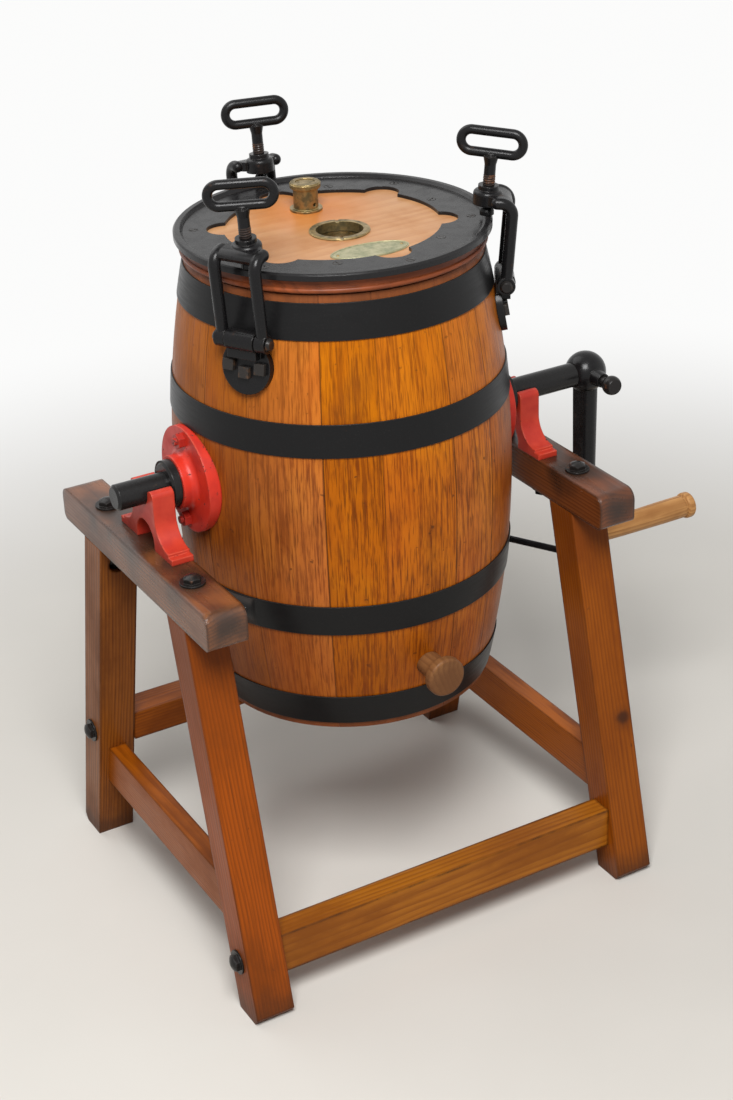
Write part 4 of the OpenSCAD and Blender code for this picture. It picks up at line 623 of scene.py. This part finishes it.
def button(centre, facing, radius, height, rings=7, round_steps=20):
    """A low round head: rows rise from the rim to the top along a quarter ellipse, and columns go round the
    axis."""
    facing = np.array(facing, float) / np.linalg.norm(facing)
    side, other = square_to(facing, (0.31, 0.17, 0.93))
    rise = np.linspace(0, np.pi / 2 * 0.995, rings)[:, None, None]
    turn = np.linspace(0, 2 * np.pi, round_steps, endpoint=False)[None, :, None]
    rim = radius * np.cos(rise) * (np.cos(turn) * side + np.sin(turn) * other)
    return np.array(centre) + rim + height * np.sin(rise) * facing


for label, z_low, z_high, middle in (("top", 0.868, 0.910, -13.0), ("upper", 0.724, 0.764, 118.0),
        ("lower", 0.476, 0.516, 200.0), ("bottom", 0.330, 0.372, 62.0)):
    tongue = grid_object("hoop_lap_" + label, hoop_lap(z_low, z_high, middle), material=hoop_iron)
    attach(tongue, "barrel")
    for number, step in enumerate((-rivet_apart, rivet_apart)):
        z = (z_low + z_high) / 2
        turn = np.radians(middle) + step / hoop_radius
        out = np.array([np.cos(turn), np.sin(turn), 0])
        seat = out * (stave_radius(z) + rivet_seat) + (axis_x, 0, z)
        head = button(seat, out, rivet_radius, rivet_height)
        rivet = grid_object("hoop_rivet_" + label + str(number), head, close_v=True, material=bolt_iron)
        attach(rivet, "barrel")


# Trunnions: red cast flanges bolted through the staves, turned iron shafts that lie in the bearings, and
# black collars that keep the barrel in the middle. The nuts are painted over.
flange_red = (0.54, 0.027, 0.012, 1)
nut_red = (0.34, 0.018, 0.010, 1)
shaft_black = (0.011, 0.0105, 0.0105, 1)
shaft_rust = (0.06, 0.035, 0.02, 1)

dress(red_paint("flange_paint", flange_red, 0.003, 0.655), "flange_left", "flange_right")
shaft_iron = iron("shaft_iron", shaft_black, shaft_rust, 0.45, 0.0015, 0.2)
dress(shaft_iron, "shaft_left", "shaft_right", "shaft_collars")
dress(red_paint("nut_paint", nut_red, 0.0012, 0.6), "flange_bolts")


# Clamp brackets: black cast plates with a knuckle for the clamp's pin. Each is held to the staves by three
# square-headed bolts, rubbed bare.
cast_black = (0.0055, 0.0052, 0.0056, 1)
cast_rust = (0.035, 0.017, 0.010, 1)
worn_black = (0.022, 0.019, 0.017, 1)
worn_rust = (0.10, 0.05, 0.025, 1)

cast_iron = iron("cast_iron", cast_black, cast_rust, 0.45, 0.002, 0.22)
dress(cast_iron, "bracket_a", "bracket_b", "bracket_c")
dress(iron("worn_iron", worn_black, worn_rust, 0.65, 0.002), "bracket_bolts")
dress(bolt_iron, "hinge_pins")


# Crank: a black cast arm that hangs from the drive shaft, held by a round-headed set screw. A turned hardwood
# grip spins on its iron spindle.
grip_light = (0.54, 0.28, 0.10, 1)
grip_dark = (0.25, 0.105, 0.032, 1)

dress(cast_iron, "crank_arm")
dress(bolt_iron, "crank_set_screw", "crank_spindle")
grip_wood = timber("grip_wood", grip_light, grip_dark, along_x, (0.0, -0.36, 0.5), 190, 0.002, 0.3)[0]
dress(grip_wood, "crank_grip")


# Catch: a black iron rod with a bent tip that swings from a clevis on the front right leg, and the keeper on
# the barrel whose two lugs take the tip.
dress(cast_iron, "catch_hook", "catch_bracket", "catch_keeper")
dress(bolt_iron, "catch_pin")


# Lid: a round board of reddish wood with a bead along its lower edge, pale on top, where rubbed wood and a
# painted sheen both lighten it, and stained orange round the vent. A dark rubber seal lies under it.
board_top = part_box("sight_ring")[1][2] - 0.0025
vent_low, vent_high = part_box("vent_body")
vent_foot = tuple(float(low + high) / 2 for low, high in zip(vent_low[:2], vent_high[:2])) + (board_top,)
# The top's colours are paler and greyer than the wood's own: partly rubbed wood, partly a painted sheen.
sheen_top_light = (0.48, 0.250, 0.112, 1)
sheen_top_dark = (0.40, 0.185, 0.075, 1)
top_blot = (0.31, 0.122, 0.042, 1)
vent_stain = (0.50, 0.16, 0.025, 1)
edge_light = (0.26, 0.062, 0.018, 1)
edge_dark = (0.14, 0.035, 0.012, 1)
seal_dark = (0.03, 0.018, 0.012, 1)
seal_chalk = (0.07, 0.045, 0.03, 1)

lid_wood, tree, shader = blank_material("lid_wood")
place = object_place(tree)
turned = lay(tree, "ShaderNodeMapping", {"Vector": place, "Rotation": (0, -1.5708, 0.3),
    "Location": (0.4, -0.9, 0)}).outputs[0]
top_grain = lay(tree, "ShaderNodeGroup", {"Vector": turned, "Light": sheen_top_light, "Dark": sheen_top_dark,
    "Rings": 60.0, "Warp": 0.06}, node_tree=grain).outputs
edge_grain = lay(tree, "ShaderNodeGroup", {"Vector": turned, "Light": edge_light, "Dark": edge_dark,
    "Rings": 90.0, "Warp": 0.05}, node_tree=grain).outputs
on_top = ramp(tree, height_of(tree, place), board_top - 0.0012, board_top - 0.0004)
blot = noise(tree, place, 16.0, 6.0, Roughness=0.6)
colour = mixed(tree, ramp(tree, blot, 0.45, 0.75, 0.0, 0.5), top_grain["Color"], top_blot)
from_vent = frayed(tree, distance(tree, place, vent_foot), blot, 0.07)
colour = mixed(tree, ramp(tree, from_vent, 0.05, 0.15, 0.85, 0.0), colour, vent_stain)
tree.links.new(mixed(tree, on_top, edge_grain["Color"], colour), shader.inputs["Base Color"])
tree.links.new(ramp(tree, blot, 0.3, 0.7, 0.30, 0.45), shader.inputs["Roughness"])
relief(tree, shader, top_grain["Height"], 0.2, 0.0005, rounded(tree, 0.002)[0])
shader.inputs["Specular IOR Level"].default_value = 0.2
dress(lid_wood, "lid_board")

seal_rubber, tree, shader = blank_material("seal_rubber")
chalk = noise(tree, object_place(tree), 80.0, 4.0)
tree.links.new(mixed(tree, chalk, seal_dark, seal_chalk), shader.inputs["Base Color"])
shader.inputs["Roughness"].default_value = 0.8
dress(seal_rubber, "lid_seal")


# The iron ring strengthens the lid's edge: a scalloped plate and a raised rim in one black casting, held to
# the board by flush slotted screws.
ring_black = (0.011, 0.0105, 0.011, 1)
ring_rust = (0.05, 0.023, 0.012, 1)

dress(iron("ring_iron", ring_black, ring_rust, 0.4, 0.0015, 0.12), "lid_ring")
dress(bolt_iron, "ring_screws")


# Sight glass and vent: turned brass gone greenish brown, round a pane of old glass. The button on top of the
# vent is pressed against a coil of steel wire to let gas out.
brass_bright = (0.34, 0.245, 0.105, 1)
brass_dull = (0.105, 0.085, 0.042, 1)
brass_edge = (0.55, 0.42, 0.2, 1)
glass_dark = (0.62, 0.42, 0.22, 1)
glass_light = (0.82, 0.66, 0.42, 1)
wire_dark = (0.4, 0.39, 0.37, 1)
wire_light = (0.6, 0.59, 0.57, 1)
wire_radius = 0.0006
spring_turns = 7

old_brass, tree, shader = blank_material("old_brass")
tarnish = noise(tree, object_place(tree), 85.0, 6.0, Roughness=0.66)
soft, edge_mask = rounded(tree, 0.001)
body = mixed(tree, ramp(tree, tarnish, 0.36, 0.66), brass_bright, brass_dull)
body = mixed(tree, maths(tree, "MULTIPLY", edge_mask, 0.6), body, brass_edge)
tree.links.new(body, shader.inputs["Base Color"])
tree.links.new(ramp(tree, tarnish, 0.3, 0.7, 0.28, 0.55), shader.inputs["Roughness"])
relief(tree, shader, tarnish, 0.2, 0.0003, soft)
shader.inputs["Metallic"].default_value = 0.9
dress(old_brass, "sight_ring", "vent_body", "vent_valve")

window_glass, tree, shader = blank_material("window_glass")
film = noise(tree, object_place(tree), 60.0, 5.0)
tree.links.new(mixed(tree, film, glass_dark, glass_light), shader.inputs["Base Color"])
tree.links.new(ramp(tree, film, 0.4, 0.7, 0.03, 0.22), shader.inputs["Roughness"])
shader.inputs["Transmission Weight"].default_value = 1.0
shader.inputs["IOR"].default_value = 1.5
dress(window_glass, "sight_glass")

spring_wire, tree, shader = blank_material("spring_wire")
drawn = noise(tree, stretched(tree, object_place(tree), 30), 40.0, 2.0)
tree.links.new(mixed(tree, drawn, wire_dark, wire_light), shader.inputs["Base Color"])
shader.inputs["Metallic"].default_value = 1.0
shader.inputs["Roughness"].default_value = 0.3


def coil_spring(foot, long, outer):
    """A round wire wound into a coil: rows go along the helix, whose rise stops in the first and last turn so
    that the ends lie flat, and columns go round the wire."""
    along = np.linspace(0, 1, int(spring_turns * 32))[:, None]
    turn = along * spring_turns * 2 * np.pi
    share = np.clip((along * spring_turns - 0.9) / (spring_turns - 1.8), 0, 1)
    rise = wire_radius + (long - 2 * wire_radius) * share
    around = np.linspace(0, 2 * np.pi, 10, endpoint=False)[None, :]
    out = outer - wire_radius + wire_radius * np.cos(around)
    z = rise + wire_radius * np.sin(around)
    return np.array(foot) + np.stack([out * np.cos(turn), out * np.sin(turn), z], axis=-1)


spring_low, spring_high = (np.array(corner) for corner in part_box("vent_spring"))
spring_foot = np.array([*(spring_low + spring_high)[:2] / 2, spring_low[2]])
spring_long = float(spring_high[2] - spring_low[2])
spring_radius = (spring_high[0] - spring_low[0]) / 2
coil = grid_object("vent_coil", coil_spring(spring_foot, spring_long, spring_radius), close_v=True,
    material=spring_wire)
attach(coil, "lid")
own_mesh(coil)
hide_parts("vent_spring")


# A bare oval plate of dull pale metal, with a bead along its edge, is pinned to the lid in front of the sight
# glass by two brass pins.
plate_turn = np.radians(-4)
pin_apart = 0.043
pin_radius = 0.0022
pin_height = 0.0012
bead_long = 0.0495
bead_short = 0.0225
bead_radius = 0.0008
plate_pale = (0.40, 0.37, 0.22, 1)
plate_dull = (0.22, 0.23, 0.14, 1)

plate_metal, tree, shader = blank_material("plate_metal")
fog = noise(tree, object_place(tree), 70.0, 7.0, Roughness=0.7)
tree.links.new(mixed(tree, ramp(tree, fog, 0.36, 0.68), plate_pale, plate_dull), shader.inputs["Base Color"])
tree.links.new(ramp(tree, fog, 0.3, 0.7, 0.35, 0.6), shader.inputs["Roughness"])
relief(tree, shader, fog, 0.25, 0.0003)
shader.inputs["Metallic"].default_value = 0.6
dress(plate_metal, "oval_plate")

plate_low, plate_high = (np.array(corner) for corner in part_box("oval_plate"))
plate_middle = (plate_low + plate_high) / 2
for number, step in enumerate((-pin_apart, pin_apart)):
    spot = plate_middle + step * np.array([np.cos(plate_turn), np.sin(plate_turn), 0])
    spot[2] = plate_high[2]
    head = button(spot, (0, 0, 1), pin_radius, pin_height)
    pin = grid_object("plate_pin_" + str(number), head, close_v=True, material=old_brass)
    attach(pin, "lid")


def oval_bead(centre, half_long, half_short, turn, radius):
    """A round bead carried along an ellipse: rows go along the ellipse, columns round the bead."""
    along = np.linspace(0, 2 * np.pi, 96, endpoint=False)[:, None]
    around = np.linspace(0, 2 * np.pi, 10, endpoint=False)[None, :]
    flat_x = (half_long + radius * np.cos(around)) * np.cos(along)
    flat_y = (half_short + radius * np.cos(around)) * np.sin(along)
    x = centre[0] + flat_x * np.cos(turn) - flat_y * np.sin(turn)
    y = centre[1] + flat_x * np.sin(turn) + flat_y * np.cos(turn)
    return np.stack([x, y, centre[2] + radius * np.sin(around) + 0 * flat_x], axis=-1)


rim_at = plate_middle.copy()
rim_at[2] = plate_high[2] + 0.0001
plate_rim = grid_object("plate_rim", oval_bead(rim_at, bead_long, bead_short, plate_turn, bead_radius),
    close_u=True, close_v=True, material=plate_metal)
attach(plate_rim, "lid")


# The drain plug is turned from a darker hardwood, with a round head to pull it by, and pushed into a tapered
# hole low in the front stave.
plug_light = (0.25, 0.112, 0.040, 1)
plug_dark = (0.12, 0.048, 0.018, 1)

plug_wood = timber("plug_wood", plug_light, plug_dark, along_y, (0.09, 0.42, 0.1), 150, 0.002, 0.3)[0]
dress(plug_wood, "drain_plug")


# Clamps: cast forks that swing up over the lid, each with a loop-handled screw and a swivel pad. The screw's
# thread shows rusty above the boss.
clamp_tilt = np.radians(5)
pin_circle = 0.215
pin_level = 0.866
screw_inside = 0.030
thread_foot = 0.1202
thread_long = 0.014
thread_radius = 0.00722
thread_pitch = 0.003
thread_height = 0.0005
thread_fade = 0.003
thread_black = (0.03, 0.02, 0.016, 1)
thread_rust = (0.12, 0.05, 0.022, 1)

for label in "abc":
    dress(cast_iron, "clamp_arm_" + label, "clamp_pad_" + label, "clamp_screw_" + label)
thread_iron = iron("thread_iron", thread_black, thread_rust, 0.95, 0.0004)


def screw_thread(start, axis):
    """A round stem whose radius rises and falls as a point goes along and round it, so that the ridge is a
    helix. Rows go along the axis, columns round it; the ridge fades out at both ends."""
    axis = np.array(axis, float) / np.linalg.norm(axis)
    side, other = square_to(axis, (0.2, 0.9, 0.1))
    along = np.linspace(0, thread_long, 121)[:, None]
    turn = np.linspace(0, 2 * np.pi, 36, endpoint=False)[None, :]
    ridge = 0.5 + 0.5 * np.cos(2 * np.pi * along / thread_pitch - turn)
    fade = np.clip(along / thread_fade, 0, 1) * np.clip((thread_long - along) / thread_fade, 0, 1)
    out = (thread_radius + thread_height * ridge * fade)[:, :, None]
    round_it = np.cos(turn)[:, :, None] * side + np.sin(turn)[:, :, None] * other
    return np.array(start) + along[:, :, None] * axis + out * round_it


for label, direction in (("a", -150), ("b", -30), ("c", 90)):
    out = np.array([np.cos(np.radians(direction)), np.sin(np.radians(direction)), 0])
    up = np.sin(clamp_tilt) * out + np.cos(clamp_tilt) * np.array([0, 0, 1.0])
    outward = np.cos(clamp_tilt) * out - np.sin(clamp_tilt) * np.array([0, 0, 1.0])
    pin = np.array([axis_x, 0, pin_level]) + pin_circle * out
    foot = pin - screw_inside * outward + thread_foot * up
    thread = grid_object("clamp_thread_" + label, screw_thread(foot, up), close_v=True, material=thread_iron)
    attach(thread, "screw_" + label)
